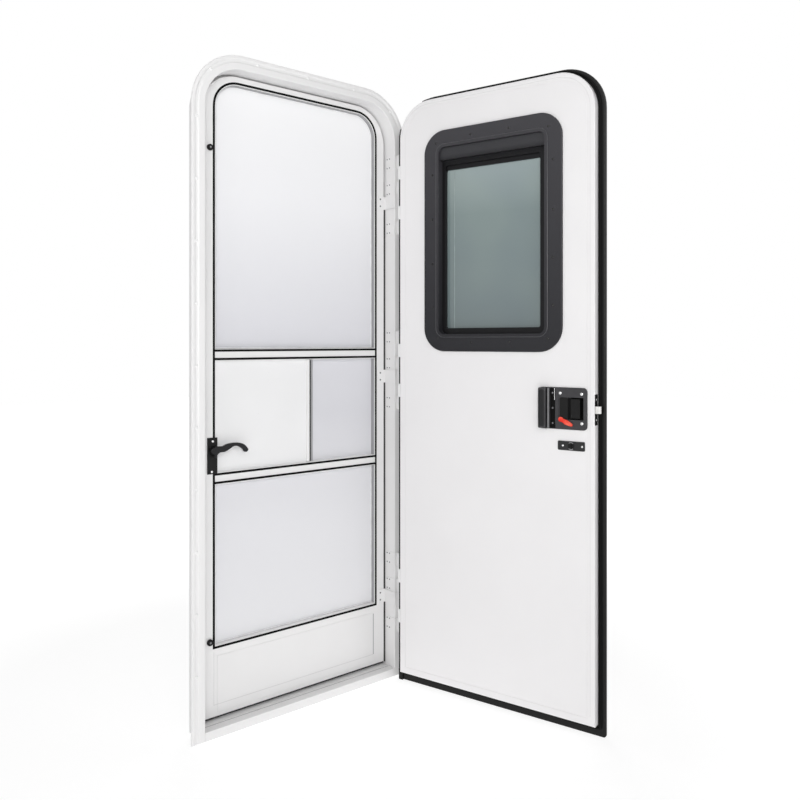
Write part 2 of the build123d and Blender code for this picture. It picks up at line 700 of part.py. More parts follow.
def latch_plate():
    """Inside latch: grip, ridge and channel at one end, and a cup for the fingers at the other."""
    outline = Pos(LATCH_X, LATCH_Z) * RectangleRounded(LATCH_WIDTH, LATCH_HEIGHT, LATCH_CORNER_R)
    plate = soften_inside(slab(outline, PAN_INNER_Y, LATCH_FACE_Y), LATCH_EDGE_R)
    plate += cup_block(0, PAN_INNER_Y - CUP_DEPTH, PAN_INNER_Y)
    plate -= cup_block(-CUP_WALL, PAN_INNER_Y - CUP_DEPTH + CUP_WALL, LATCH_FACE_Y + CUT)
    grip_x = LATCH_X + LATCH_WIDTH / 2 - LATCH_EDGE_R
    ridge_x = grip_x - GRIP_WIDTH - GRIP_GAP
    channel_x = ridge_x - RIDGE_WIDTH
    half = LATCH_HEIGHT / 2 - LATCH_CORNER_R
    channel = block(
        channel_x - CHANNEL_WIDTH, channel_x, LATCH_FACE_Y - CHANNEL_DEPTH, LATCH_FACE_Y + CUT,
        LATCH_Z - half, LATCH_Z + half)
    round_ends = slab(outline, LATCH_FACE_Y, LATCH_FACE_Y + GRIP_HEIGHT)
    plate = plate - channel + (grip_bar(grip_x, GRIP_WIDTH, GRIP_HEIGHT) & round_ends)
    plate += grip_bar(ridge_x, RIDGE_WIDTH, RIDGE_HEIGHT)
    flap = Pos(CUP_X + CUP_WIDTH / 2 + CUP_WALL, LATCH_Z) * RectangleRounded(
        FLAP_WIDTH * 2, CUP_HEIGHT - 2 * CUP_WALL, FLAP_CORNER_R)
    flap &= plain(CUP_X + CUP_WIDTH / 2 - CUP_WALL, grip_x, LATCH_Z - CUP_HEIGHT, LATCH_Z + CUP_HEIGHT)
    plate -= slab(flap, LATCH_FACE_Y - FLAP_DEPTH, LATCH_FACE_Y + CUT)
    for place in (-1, 0, 1):
        plate += rod(
            channel_x - CHANNEL_WIDTH / 2, LATCH_Z + place * BOSS_PITCH, BOSS_R,
            LATCH_FACE_Y - CHANNEL_DEPTH, LATCH_FACE_Y)
    return plate


def latch_paddle():
    """Paddle that the fingers pull out of the cup, on a pivot bar between the cup's walls."""
    inside = CUP_HEIGHT / 2 - CUP_WALL
    barrel_half = inside - PADDLE_END_PLAY
    barrel = post(
        Pos(PADDLE_X, PAN_INNER_Y) * Circle(PADDLE_PIN_R), LATCH_Z - barrel_half, LATCH_Z + barrel_half)
    half = inside - PADDLE_GAP
    back = PAN_INNER_Y - PADDLE_THICK / 2
    front = PAN_INNER_Y + PADDLE_THICK / 2
    tip_x = PADDLE_X - PADDLE_WIDTH
    flap = block(tip_x, PADDLE_X, back, front, LATCH_Z - half, LATCH_Z + half)
    rib = block(tip_x, tip_x + PADDLE_RIB, front, front + PADDLE_RIB, LATCH_Z - half, LATCH_Z + half)
    return barrel + flap + rib


def lock_lever():
    """Small leaf-shaped lever that locks the latch, with a waist between its hub and its belly."""
    y_low = LATCH_FACE_Y + KNOB_GAP
    tip = LOCK_TIP_R - LOCK_LEVER_LENGTH
    belly = tip / 2
    ends = Pos(belly, 0) * Circle(LOCK_BELLY_R) + Pos(tip, 0) * Circle(LOCK_TIP_R)
    outline = make_hull(ends.edges()) + Circle(LOCK_HUB_R)
    outline += Pos(belly / 2, 0) * Rectangle(-belly, 2 * LOCK_WAIST_R)
    outline = Rot(0, 0, LOCK_LEVER_ANGLE) * outline
    return slab(Pos(LOCK_LEVER_X, LOCK_LEVER_Z) * outline, y_low, y_low + LOCK_LEVER_THICK)


def latch_bolt():
    """Spring bolt with a rounded nose that stands out of the latch edge."""
    bolt = bolt_bar(0, PAN_LATCH_X - BOLT_THROW + BOLT_LENGTH)
    return fillet(bolt.edges().group_by(Axis.X)[0].filter_by(Axis.Z), BOLT_NOSE_R)


def latch_faceplate():
    """Plate round the bolt, flush with the latch edge of the pan."""
    return faceplate_blank(PAN_LATCH_X) - bolt_bar(BOLT_CLEARANCE, PAN_LATCH_X + BOLT_LENGTH)


def deadlock_plate():
    """Cover of the deadlock below the latch."""
    outline = RectangleRounded(DEADLOCK_WIDTH, DEADLOCK_HEIGHT, DEADLOCK_CORNER_R)
    plate = slab(Pos(DEADLOCK_X, DEADLOCK_Z) * outline, PAN_INNER_Y, PAN_INNER_Y + DEADLOCK_THICK)
    return soften_inside(plate, LATCH_EDGE_R)


def deadlock_snib():
    """Turn knob of the deadlock: a disc with a bar across it."""
    y_low = PAN_INNER_Y + DEADLOCK_THICK + KNOB_GAP
    y_mid = y_low + SNIB_HEIGHT
    bar = Pos(DEADLOCK_X, DEADLOCK_Z) * Rectangle(SNIB_BAR_WIDTH, 2 * SNIB_R - SNIB_BAR_WIDTH)
    return rod(DEADLOCK_X, DEADLOCK_Z, SNIB_R, y_low, y_mid) + slab(bar, y_mid, y_mid + SNIB_BAR_HEIGHT)


def outside_handle():
    """Plain pull handle on the outer skin: a plate with a rounded bar on it."""
    face_y = SKIN_FRONT - HANDLE_THICK
    place = Pos(LATCH_X, LATCH_Z)
    plate = slab(place * RectangleRounded(HANDLE_WIDTH, HANDLE_HEIGHT, LATCH_CORNER_R), face_y, SKIN_FRONT)
    bar = slab(place * SlotOverall(HANDLE_BAR_LENGTH, HANDLE_BAR_WIDTH), face_y - HANDLE_BAR_HEIGHT, face_y)
    return soften_outside(plate, LATCH_EDGE_R) + soften_outside(bar, HANDLE_BAR_EDGE_R)


# Screen door

def seal_outline(offset):
    """Outline of the glazing seal's middle line, moved inwards by an offset."""
    return arched(
        SEAL_LATCH_X + offset, SEAL_HINGE_X - offset,
        SEAL_BOTTOM_Z + offset, SEAL_TOP_Z - offset, SEAL_CORNER_R - offset)


def lever_plate_outline():
    """Outline of the plate under the screen door's lever; the seal stops at it."""
    return Pos(LEVER_X, LEVER_PLATE_Z) * Rectangle(LEVER_PLATE_WIDTH, LEVER_PLATE_HEIGHT)


def glazing_seal(proud):
    """Black seal round the meshes and along both midrails, standing proud of the frame."""
    front = SCREEN_FRONT_Y - proud
    back = SCREEN_FRONT_Y + SEAL_DEPTH
    seal = slab(seal_outline(-SEAL_WIDTH / 2) - seal_outline(SEAL_WIDTH / 2), front, back)
    for centre in RAIL_CENTRES.values():
        for side in (-1, 1):
            middle = centre + side * RAIL_LINE_SPACING / 2
            seal += block(
                SEAL_LATCH_X, SEAL_HINGE_X, front, back,
                middle - SEAL_WIDTH / 2, middle + SEAL_WIDTH / 2)
    return seal - slab(lever_plate_outline(), front - CUT, back + CUT)


def screen_frame():
    """Stiles, head and kick panel of the screen door in one, before they are cut apart."""
    outline = arched(SCREEN_LATCH_X, SCREEN_HINGE_X, SCREEN_BOTTOM, SCREEN_TOP, SCREEN_CORNER_R)
    frame = soften_outside(slab(outline, SCREEN_FRONT_Y, SCREEN_BACK_Y), SCREEN_EDGE_R)
    frame -= slab(seal_outline(STEP_WIDTH), SCREEN_FRONT_Y - CUT, SCREEN_BACK_Y + CUT)
    return frame - glazing_seal(CUT)


def screen_piece(frame, x_low, x_high, z_low, z_high):
    """One length of the screen door's frame."""
    return frame & block(x_low, x_high, SCREEN_FRONT_Y - CUT, SCREEN_BACK_Y + CUT, z_low, z_high)


def spindle_hole():
    """Bore for the lever's spindle through the stile and its plates."""
    y_low = SCREEN_FRONT_Y - LEVER_PLATE_THICK - CUT
    y_high = SCREEN_BACK_Y + LEVER_PLATE_THICK + CUT
    return rod(LEVER_X, LEVER_Z, LEVER_SPINDLE_R + PIN_CLEARANCE, y_low, y_high)


def kick_panel(frame):
    """Solid lower panel with a pressed line."""
    panel = screen_piece(frame, MESH_LOW_X, MESH_HIGH_X, SCREEN_BOTTOM, SEAL_BOTTOM_Z + STEP_WIDTH)
    outer = KICK_LINE_WIDTH
    inner = 2 * KICK_LINE_WIDTH
    line = plain(MESH_LOW_X + outer, MESH_HIGH_X - outer, KICK_BOTTOM_Z, KICK_TOP_Z)
    line -= plain(
        MESH_LOW_X + inner, MESH_HIGH_X - inner,
        KICK_BOTTOM_Z + KICK_LINE_WIDTH, KICK_TOP_Z - KICK_LINE_WIDTH)
    return panel - slab(line, SCREEN_FRONT_Y - CUT, SCREEN_FRONT_Y + KICK_LINE_DEPTH)


def hatch_groove(centre, side):
    """Groove in the edge of a midrail that the hatch slides in."""
    edge = centre + side * RAIL_HALF
    z_low, z_high = sorted((edge - side * HATCH_GROOVE_DEPTH, edge + side * CUT))
    return block(
        MESH_LOW_X - CUT, MESH_HIGH_X + CUT,
        HATCH_FRONT_Y - HATCH_PLAY, HATCH_BACK_Y + HATCH_PLAY, z_low, z_high)


def midrail(centre, hatch_side):
    """Rail between two meshes: seals along its edges, a shallow channel and a groove for the hatch."""
    bar = block(MESH_LOW_X, MESH_HIGH_X, SCREEN_FRONT_Y, MESH_FRONT_Y, centre - RAIL_HALF, centre + RAIL_HALF)
    channel = block(
        MESH_LOW_X - CUT, MESH_HIGH_X + CUT, SCREEN_FRONT_Y - CUT, SCREEN_FRONT_Y + RAIL_CHANNEL_DEPTH,
        centre - RAIL_CHANNEL_WIDTH / 2, centre + RAIL_CHANNEL_WIDTH / 2)
    return bar - channel - glazing_seal(CUT) - hatch_groove(centre, hatch_side)


def mesh_sheet(x_low, z_low, z_high):
    """Flat insect mesh behind the rails, cut to the frame."""
    outline = seal_outline(STEP_WIDTH) & plain(x_low, MESH_HIGH_X, z_low, z_high)
    return slab(outline, MESH_FRONT_Y, MESH_BACK_Y)


def hatch_span(reach):
    """Lower and upper end of a piece between the midrails, reaching into their edges."""
    return RAIL_CENTRES["lower"] + RAIL_HALF - reach, RAIL_CENTRES["upper"] - RAIL_HALF + reach


def mullion():
    """Black sealing bar that holds the free edge of the middle mesh, behind the hatch."""
    return block(MULLION_X, MULLION_X + MULLION_WIDTH, HATCH_BACK_Y + HATCH_GAP, MESH_FRONT_Y, *hatch_span(0))


def hatch_panel():
    """Light sheet that slides in the midrails to reach the latch of the outer door."""
    return block(
        HATCH_LOW_X, HATCH_HIGH_X, HATCH_FRONT_Y, HATCH_BACK_Y, *hatch_span(HATCH_GROOVE_DEPTH - HATCH_PLAY))


def hatch_bar():
    """Finger bar on the free edge of the hatch."""
    bar = block(
        HATCH_HIGH_X - HATCH_BAR_WIDTH, HATCH_HIGH_X, HATCH_FRONT_Y - HATCH_BAR_DEPTH, HATCH_FRONT_Y,
        *hatch_span(-HATCH_GAP))
    return soften_outside(bar, HATCH_BAR_EDGE_R)


def bumper(z):
    """Rubber buffer that faces the outer door."""
    return soften_outside(
        rod(BUMPER_X, z, BUMPER_R, SCREEN_FRONT_Y - BUMPER_HEIGHT, SCREEN_FRONT_Y), BUMPER_EDGE_R)


def lever_plates():
    """Plates outside and inside the latch stile."""
    outer = slab(lever_plate_outline(), SCREEN_FRONT_Y - LEVER_PLATE_THICK, SCREEN_FRONT_Y)
    inner = slab(lever_plate_outline(), SCREEN_BACK_Y, SCREEN_BACK_Y + LEVER_PLATE_THICK)
    outer = soften_outside(outer, LEVER_PLATE_EDGE_R) - spindle_hole()
    inner = soften_inside(inner, LEVER_PLATE_EDGE_R) - spindle_hole()
    return Compound(children=[outer, inner])


def lever_outline():
    """Scrolled handle: level root with a hollow foot, a back that rises to a crest, a tip that curls down."""
    edges = [
        Line((0, LEVER_ROOT_TOP), LEVER_BACK[0]),
        Spline(*LEVER_BACK),
        ThreePointArc(LEVER_BACK[-1], LEVER_TIP, LEVER_BELLY[0]),
        Spline(*LEVER_BELLY),
        Line(LEVER_BELLY[-1], LEVER_THROAT),
        ThreePointArc(LEVER_THROAT, LEVER_FOOT_CURVE, LEVER_FOOT),
        Line(LEVER_FOOT, (0, LEVER_FOOT[1])),
        Line((0, LEVER_FOOT[1]), (0, LEVER_ROOT_TOP)),
    ]
    return make_face(edges) + Circle(LEVER_HUB_R)


def screen_lever():
    """Scrolled levers, outside and inside, on one spindle through the latch stile."""
    outline = Pos(LEVER_X, LEVER_Z) * lever_outline()
    outer = SCREEN_FRONT_Y - LEVER_REACH
    inner = SCREEN_BACK_Y + LEVER_REACH
    outer_plate = SCREEN_FRONT_Y - LEVER_PLATE_THICK - KNOB_GAP
    inner_plate = SCREEN_BACK_Y + LEVER_PLATE_THICK + KNOB_GAP
    lever = rod(LEVER_X, LEVER_Z, LEVER_SPINDLE_R, outer + LEVER_EDGE_R, inner - LEVER_EDGE_R)
    lever += rod(LEVER_X, LEVER_Z, LEVER_HUB_R, outer + LEVER_THICK, outer_plate)
    lever += rod(LEVER_X, LEVER_Z, LEVER_HUB_R, inner_plate, inner - LEVER_THICK)
    lever += soften_outside(slab(outline, outer, outer + LEVER_THICK), LEVER_EDGE_R)
    lever += soften_inside(slab(outline, inner - LEVER_THICK, inner), LEVER_EDGE_R)
    return lever


# Build order: frame, outer door, screen door, hinges

frame_nodes = {
    "latch_jamb": latch_jamb(),
    "hinge_jamb": jamb(1),
    "head_arch": head_arch(),
    "sill": sill(),
    "strike_plate": strike_plate(),
    "hinge_pins": Compound(children=[hinge_pin(centre) for centre in HINGE_CENTRES.values()]),
}

door_nodes = {
    "inner_pan": inner_pan(),
    "outer_panel": outer_panel(),
    "edge_trim": edge_trim(),
    "window_inner_ring": window_inner_ring(),
    "window_outer_ring": window_outer_ring(),
    "window_glass": window_glass(),
    "window_sash": window_sash(),
    "latch_plate": latch_plate(),
    "latch_paddle": latch_paddle(),
    "lock_lever": lock_lever(),
    "latch_bolt": latch_bolt(),
    "latch_faceplate": latch_faceplate(),
    "deadlock_plate": deadlock_plate(),
    "deadlock_snib": deadlock_snib(),
    "outside_handle": outside_handle(),
}

screen = screen_frame()
upper_rail = RAIL_CENTRES["upper"]
lower_rail = RAIL_CENTRES["lower"]
screen_nodes = {
    "screen_latch_stile":
        screen_piece(screen, SCREEN_LATCH_X, MESH_LOW_X, SCREEN_BOTTOM, SCREEN_SPRING) - spindle_hole(),
    "screen_hinge_stile": screen_piece(screen, MESH_HIGH_X, SCREEN_HINGE_X, SCREEN_BOTTOM, SCREEN_SPRING),
    "screen_head": screen_piece(screen, SCREEN_LATCH_X, SCREEN_HINGE_X, SCREEN_SPRING, SCREEN_TOP),
    "kick_panel": kick_panel(screen),
    "upper_midrail": midrail(upper_rail, -1),
    "lower_midrail": midrail(lower_rail, 1),
    "mullion": mullion(),
    "glazing_seal": glazing_seal(SEAL_PROUD),
    "upper_mesh": mesh_sheet(MESH_LOW_X, upper_rail + HATCH_GAP, SEAL_TOP_Z),
    "middle_mesh": mesh_sheet(MULLION_X, lower_rail + HATCH_GAP, upper_rail - HATCH_GAP),
    "lower_mesh": mesh_sheet(MESH_LOW_X, SEAL_BOTTOM_Z, lower_rail - HATCH_GAP),
    "hatch_panel": hatch_panel(),
    "hatch_bar": hatch_bar(),
    "bumpers": Compound(children=[bumper(z) for z in BUMPER_HEIGHTS]),
    "lever_plates": lever_plates(),
    "screen_lever": screen_lever(),
}

for name, centre in HINGE_CENTRES.items():
    frame_nodes[name + "_frame_leaves"] = leaves(frame_leaf_plan(), centre, (0, 2, 5))
    door_nodes[name + "_door_leaves"] = leaves(door_leaf_plan(), centre, (1, 4))

arms = [post(screen_leaf_plan(), *knuckle_span(centre, 3)) for centre in HINGE_CENTRES.values()]
screen_nodes["screen_leaves"] = Compound(children=arms)

door_nodes = {name: swing_open(shape) for name, shape in door_nodes.items()}

os.makedirs("parts", exist_ok=True)
for name, shape in {**frame_nodes, **door_nodes, **screen_nodes}.items():
    export_step(shape, f"parts/{name}.step")
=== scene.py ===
"""Looks of a caravan entry door set: white powder-coated frame, insulated outer door and screen door."""

import json
import math

import bmesh
import bpy
from mathutils import Matrix, Vector


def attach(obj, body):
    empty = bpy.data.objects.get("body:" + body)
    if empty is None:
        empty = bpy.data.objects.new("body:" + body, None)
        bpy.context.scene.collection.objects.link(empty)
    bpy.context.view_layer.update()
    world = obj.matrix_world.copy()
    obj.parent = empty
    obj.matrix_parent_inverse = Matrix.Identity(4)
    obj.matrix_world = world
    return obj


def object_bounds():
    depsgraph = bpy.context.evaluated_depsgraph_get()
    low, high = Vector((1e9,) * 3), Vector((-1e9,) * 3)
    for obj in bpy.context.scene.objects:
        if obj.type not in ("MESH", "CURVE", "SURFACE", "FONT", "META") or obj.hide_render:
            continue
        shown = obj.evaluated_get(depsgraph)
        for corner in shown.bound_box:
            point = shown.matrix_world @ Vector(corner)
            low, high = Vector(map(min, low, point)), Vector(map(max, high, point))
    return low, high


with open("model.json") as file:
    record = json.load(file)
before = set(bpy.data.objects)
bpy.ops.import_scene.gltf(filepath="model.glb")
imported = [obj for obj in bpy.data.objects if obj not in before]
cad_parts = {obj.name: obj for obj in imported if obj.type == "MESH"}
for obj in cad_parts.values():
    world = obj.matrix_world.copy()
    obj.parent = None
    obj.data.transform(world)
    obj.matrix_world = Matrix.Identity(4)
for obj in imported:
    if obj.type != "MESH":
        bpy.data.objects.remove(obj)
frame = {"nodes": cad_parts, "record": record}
cad_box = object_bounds()
nodes = frame["nodes"]

# Camera of the photograph, in metres, degrees and pixels
IMAGE_PIXELS = 800
FOCAL_PIXELS = 770.5
HORIZON_PIXEL = 341.9
SENSOR_MM = 36.0
CAMERA_PLACE = Vector((-1.1921, -1.8871, 1.0310))
CAMERA_YAW = 39.11
CLIP_NEAR = 0.05
CLIP_FAR = 50

# Pieces are placed in millimetres. The outer door is drawn closed and swung open on the hinge pins
MM = 0.001
PIN = Vector((0.327, -0.017, 0))
DOOR_ANGLE = math.radians(107.0)
CLOSED = Matrix.Scale(MM, 4)
SWUNG = Matrix.Translation(PIN) @ Matrix.Rotation(DOOR_ANGLE, 4, "Z") @ Matrix.Translation(-PIN) @ CLOSED

# Ways that a face looks, with the doors closed
OUTWARD = (0, -1, 0)
INWARD = (0, 1, 0)
LATCHWARD = (-1, 0, 0)
HINGEWARD = (1, 0, 0)
SIDES = (-1, 1)

# Hinges: middle heights, and which of the six knuckles belong to which leaves
HINGE_CENTRES = (1491, 943, 248)
HINGE_TOP = 102.5
KNUCKLE_PITCH = 41
FRAME_KNUCKLES = (0, 2, 5)
DOOR_KNUCKLES = (1, 4)
SCREEN_KNUCKLE = 3

# Outer door
BOLT_Z = 851
LATCH_Z = 852
LATCH_FACE = 16
DEADLOCK_X = -247
DEADLOCK_Z = 752
DEADLOCK_FACE = 15
PAN_FACE = 12
LIP_BACK = -13
ARC_X = 206
ARC_Z = 1654

# Screen door
LOWER_RAIL_Z = 661
UPPER_RAIL_Z = 996
RAIL_HALF = 16.5
MESH_LOW_X = -265.5
MESH_HIGH_X = 273.5
MESH_TOP = 1737
MESH_CORNER_R = 68
MESH_FACE = 58.4


# Shader nodes

def map_range(tree, value, from_range=(0.0, 1.0), to_range=(0.0, 1.0)):
    """Value carried over from one range to another."""
    node = tree.nodes.new("ShaderNodeMapRange")
    for socket, number in zip(("From Min", "From Max", "To Min", "To Max"), (*from_range, *to_range)):
        node.inputs[socket].default_value = number
    tree.links.new(value, node.inputs["Value"])
    return node.outputs["Result"]


def maximum(tree, first, second):
    """Larger of two values."""
    node = tree.nodes.new("ShaderNodeMath")
    node.operation = "MAXIMUM"
    tree.links.new(first, node.inputs[0])
    tree.links.new(second, node.inputs[1])
    return node.outputs[0]


def object_coordinates(tree):
    """Coordinates of the row frame."""
    return tree.nodes.new("ShaderNodeTexCoord").outputs["Object"]


def noise(tree, scale, detail=2.0):
    """Noise over the row frame."""
    texture = tree.nodes.new("ShaderNodeTexNoise")
    texture.inputs["Scale"].default_value = scale
    texture.inputs["Detail"].default_value = detail
    tree.links.new(object_coordinates(tree), texture.inputs["Vector"])
    return texture.outputs["Fac"]


def height_share(tree, low, high):
    """Share of the way up between two heights of the row frame, in metres."""
    split = tree.nodes.new("ShaderNodeSeparateXYZ")
    tree.links.new(object_coordinates(tree), split.inputs["Vector"])
    return map_range(tree, split.outputs["Z"], from_range=(low, high))


def ramp_between(tree, factor, stops):
    """Colour ramp through a list of (place, colour)."""
    node = tree.nodes.new("ShaderNodeValToRGB")
    elements = node.color_ramp.elements
    while len(elements) < len(stops):
        elements.new(0.5)
    for element, (place, colour) in zip(elements, stops):
        element.position = place
        element.color = (*colour, 1)
    tree.links.new(factor, node.inputs["Fac"])
    return node.outputs["Color"]


# Kinds of material

LOOKS = {}
RELIEF_DEPTH = 0.0004
WEAVE_SCALE = 180.0
PANE_HEIGHTS = (1.05, 1.56)
MESH_HEIGHTS = (0.2, 1.75)


def grey(level):
    """Neutral colour."""
    return (level, level, level)


def new_material(name, colour, roughness, specular=0.5):
    """Principled material with constant values on its own sockets, kept in LOOKS by its name."""
    material = bpy.data.materials.new(name)
    material.use_nodes = True
    shader = material.node_tree.nodes["Principled BSDF"]
    shader.inputs["Base Color"].default_value = (*colour, 1)
    shader.inputs["Roughness"].default_value = roughness
    shader.inputs["Specular IOR Level"].default_value = specular
    LOOKS[name] = material
    return material.node_tree, shader


def drifting_colour(tree, shader, colour, spread, scale):
    """Base colour that drifts a little about one tint."""
    low = [max(0, c - spread) for c in colour]
    high = [min(1, c + spread) for c in colour]
    tint = ramp_between(tree, noise(tree, scale), [(0.3, low), (0.7, high)])
    tree.links.new(tint, shader.inputs["Base Color"])


def drifting_roughness(tree, shader, roughness, scale):
    """Roughness that drifts between two values."""
    drift = map_range(tree, noise(tree, scale), to_range=roughness)
    tree.links.new(drift, shader.inputs["Roughness"])


def relief(tree, shader, height, strength):
    """Fine relief from a height."""
    node = tree.nodes.new("ShaderNodeBump")
    node.inputs["Strength"].default_value = strength
    node.inputs["Distance"].default_value = RELIEF_DEPTH
    tree.links.new(height, node.inputs["Height"])
    tree.links.new(node.outputs["Normal"], shader.inputs["Normal"])


def coated_metal(name, colour, roughness=(0.32, 0.42)):
    """Powder-coated metal: faint orange peel and a slow drift of tint."""
    tree, shader = new_material(name, colour, roughness[0])
    drifting_colour(tree, shader, colour, spread=0.008, scale=6.0)
    drifting_roughness(tree, shader, roughness, scale=35.0)
    relief(tree, shader, noise(tree, scale=900.0, detail=1.0), strength=0.05)


def moulded(name, colour, roughness, grain, strength, specular, foot=None):
    """Moulded plastic or rubber with a fine grain; a foot (low, high, colour) fades it downwards."""
    tree, shader = new_material(name, colour, roughness[0], specular)
    if foot:
        low, high, tint = foot
        fade = ramp_between(tree, height_share(tree, low, high), [(0.0, tint), (1.0, colour)])
        tree.links.new(fade, shader.inputs["Base Color"])
    else:
        drifting_colour(tree, shader, colour, spread=max(colour) * 0.12, scale=40.0)
    drifting_roughness(tree, shader, roughness, scale=120.0)
    relief(tree, shader, noise(tree, grain), strength)


def bare_steel(name, colour, roughness):
    """Plated steel of screws and pins."""
    tree, shader = new_material(name, colour, roughness[0])
    shader.inputs["Metallic"].default_value = 0.8
    drifting_colour(tree, shader, colour, spread=0.03, scale=60.0)
    drifting_roughness(tree, shader, roughness, scale=300.0)


def tinted_pane(name):
    """Grey-green tinted pane, with a painted reflection that makes it a little lighter towards its head."""
    tree, shader = new_material(name, (0.21, 0.27, 0.27), roughness=0.06)
    # Painted reflection: the tint lightens by height towards the head of the pane
    fade = ramp_between(tree, height_share(tree, *PANE_HEIGHTS), [
        (0.0, (0.145, 0.184, 0.190)), (0.35, (0.165, 0.211, 0.214)),
        (0.7, (0.180, 0.232, 0.234)), (1.0, (0.290, 0.352, 0.354))])
    patches = ramp_between(tree, noise(tree, scale=4.5, detail=1.0), [
        (0.35, (0.93, 0.94, 0.97)), (0.65, (1.07, 1.07, 1.04))])
    mix = tree.nodes.new("ShaderNodeMix")
    mix.data_type = "RGBA"
    mix.blend_type = "MULTIPLY"
    mix.inputs["Factor"].default_value = 1.0
    tree.links.new(fade, mix.inputs["A"])
    tree.links.new(patches, mix.inputs["B"])
    tree.links.new(mix.outputs["Result"], shader.inputs["Base Color"])
    shader.inputs["Coat Weight"].default_value = 0.4
    shader.inputs["Coat Roughness"].default_value = 0.03


def mesh_cloth(name):
    """Fine insect mesh: a square weave that lets some light through, with painted light and shade by
    height: paler near the head and the foot.
    """
    tree, shader = new_material(name, (0.8, 0.8, 0.82), roughness=0.7, specular=0.2)
    threads = []
    for direction in ("X", "Z"):
        wave = tree.nodes.new("ShaderNodeTexWave")
        wave.bands_direction = direction
        wave.inputs["Scale"].default_value = WEAVE_SCALE
        tree.links.new(object_coordinates(tree), wave.inputs["Vector"])
        threads.append(wave.outputs["Fac"])
    # Painted light and shade: the thread colour is paler near the head and the foot and darker between, by
    # height
    tint = ramp_between(tree, height_share(tree, *MESH_HEIGHTS), [
        (0.0, (0.84, 0.84, 0.86)), (0.28, (0.76, 0.76, 0.79)), (0.40, (0.70, 0.70, 0.74)),
        (0.55, (0.76, 0.76, 0.80)), (0.80, (0.94, 0.94, 0.96)), (1.0, (0.98, 0.98, 0.99))])
    tree.links.new(tint, shader.inputs["Base Color"])
    shader.inputs["Alpha"].default_value = 0.7
    relief(tree, shader, maximum(tree, *threads), strength=0.2)


# Materials of the record's slots
COAT_WHITE = (0.80, 0.795, 0.795)
for slot_name in ("frame_white", "screen_white", "hinge_white", "skin_white"):
    coated_metal(slot_name, COAT_WHITE)
coated_metal("pan_white", (0.80, 0.79, 0.795))
coated_metal("hatch_sheet", (0.82, 0.82, 0.825), (0.25, 0.35))
bare_steel("pin_steel", grey(0.62), (0.25, 0.4))
mesh_cloth("mesh")
tinted_pane("window_pane")
moulded("bolt_white", (0.80, 0.79, 0.77), (0.3, 0.4), grain=600.0, strength=0.03, specular=0.5)
# Painted shade: the black lip trim darkens towards its foot
moulded(
    "trim_black", grey(0.010), (0.32, 0.42), grain=700.0, strength=0.05, specular=0.25,
    foot=(0.3, 1.6, grey(0.003)))
# Painted sheen: the window ring is lighter towards its head, darker towards its foot
moulded(
    "ring_grey", (0.040, 0.039, 0.044), (0.4, 0.55), grain=900.0, strength=0.15, specular=0.3,
    foot=(1.02, 1.66, (0.014, 0.014, 0.017)))
moulded(
    "sash_black", (0.040, 0.040, 0.044), (0.4, 0.5), grain=900.0, strength=0.08, specular=0.2,
    foot=(1.565, 1.585, (0.006, 0.006, 0.007)))
moulded("latch_grey", (0.032, 0.031, 0.034), (0.4, 0.55), grain=900.0, strength=0.15, specular=0.4)
moulded("latch_black", grey(0.006), (0.35, 0.5), grain=900.0, strength=0.08, specular=0.2)
moulded("lever_black", (0.006, 0.006, 0.007), (0.3, 0.4), grain=900.0, strength=0.05, specular=0.3)
moulded("lever_red", (0.80, 0.058, 0.006), (0.4, 0.55), grain=600.0, strength=0.06, specular=0.1)
moulded("seal_black", grey(0.003), (0.5, 0.7), grain=800.0, strength=0.15, specular=0.1)
moulded("bumper_rubber", grey(0.004), (0.5, 0.65), grain=800.0, strength=0.2, specular=0.2)

# Materials of small pieces
# Painted shade: mid grey for the recess walls of the mesh channels, the middle mesh cord and the sill
# groove strip
coated_metal("recess_shade_grey", (0.32, 0.32, 0.33), (0.35, 0.5))
# Painted shade: darker white for the pressed line of the pan
coated_metal("press_shade_white", (0.70, 0.695, 0.695))
# Painted shadow: greys for the shade in the joints of the kick panel
coated_metal("joint_shadow_grey", (0.42, 0.42, 0.43))
coated_metal("faint_shadow_grey", grey(0.66))
coated_metal("screw_white", grey(0.86), (0.2, 0.3))
bare_steel("screw_steel", grey(0.80), (0.2, 0.32))
bare_steel("screw_dark", (0.22, 0.22, 0.23), (0.25, 0.4))
# Painted highlight: pale steel for the arcs above and below the deadlock knob
bare_steel("arc_highlight_steel", (0.42, 0.42, 0.43), (0.3, 0.4))
moulded("screw_black", grey(0.006), (0.15, 0.25), grain=900.0, strength=0.02, specular=0.6)
moulded("spline_white", (0.86, 0.86, 0.87), (0.4, 0.5), grain=600.0, strength=0.03, specular=0.4)
moulded("strip_grey", (0.09, 0.09, 0.088), (0.6, 0.7), grain=900.0, strength=0.2, specular=0.2)
moulded("sweep_grey", grey(0.03), (0.5, 0.6), grain=700.0, strength=0.2, specular=0.2)
moulded("bead_grey", (0.045, 0.045, 0.05), (0.25, 0.35), grain=900.0, strength=0.05, specular=0.5)
# Painted highlight: light grey on the cap of the latch ridge
moulded("ridge_highlight_grey", (0.15, 0.15, 0.155), (0.3, 0.4), grain=900.0, strength=0.05, specular=0.5)
moulded("grip_grey", (0.008, 0.008, 0.009), (0.35, 0.45), grain=900.0, strength=0.12, specular=0.3)
moulded("deadlock_grey", (0.014, 0.014, 0.015), (0.35, 0.5), grain=900.0, strength=0.1, specular=0.35)
moulded("pane_edge_green", (0.30, 0.36, 0.355), (0.1, 0.2), grain=400.0, strength=0.02, specular=0.5)

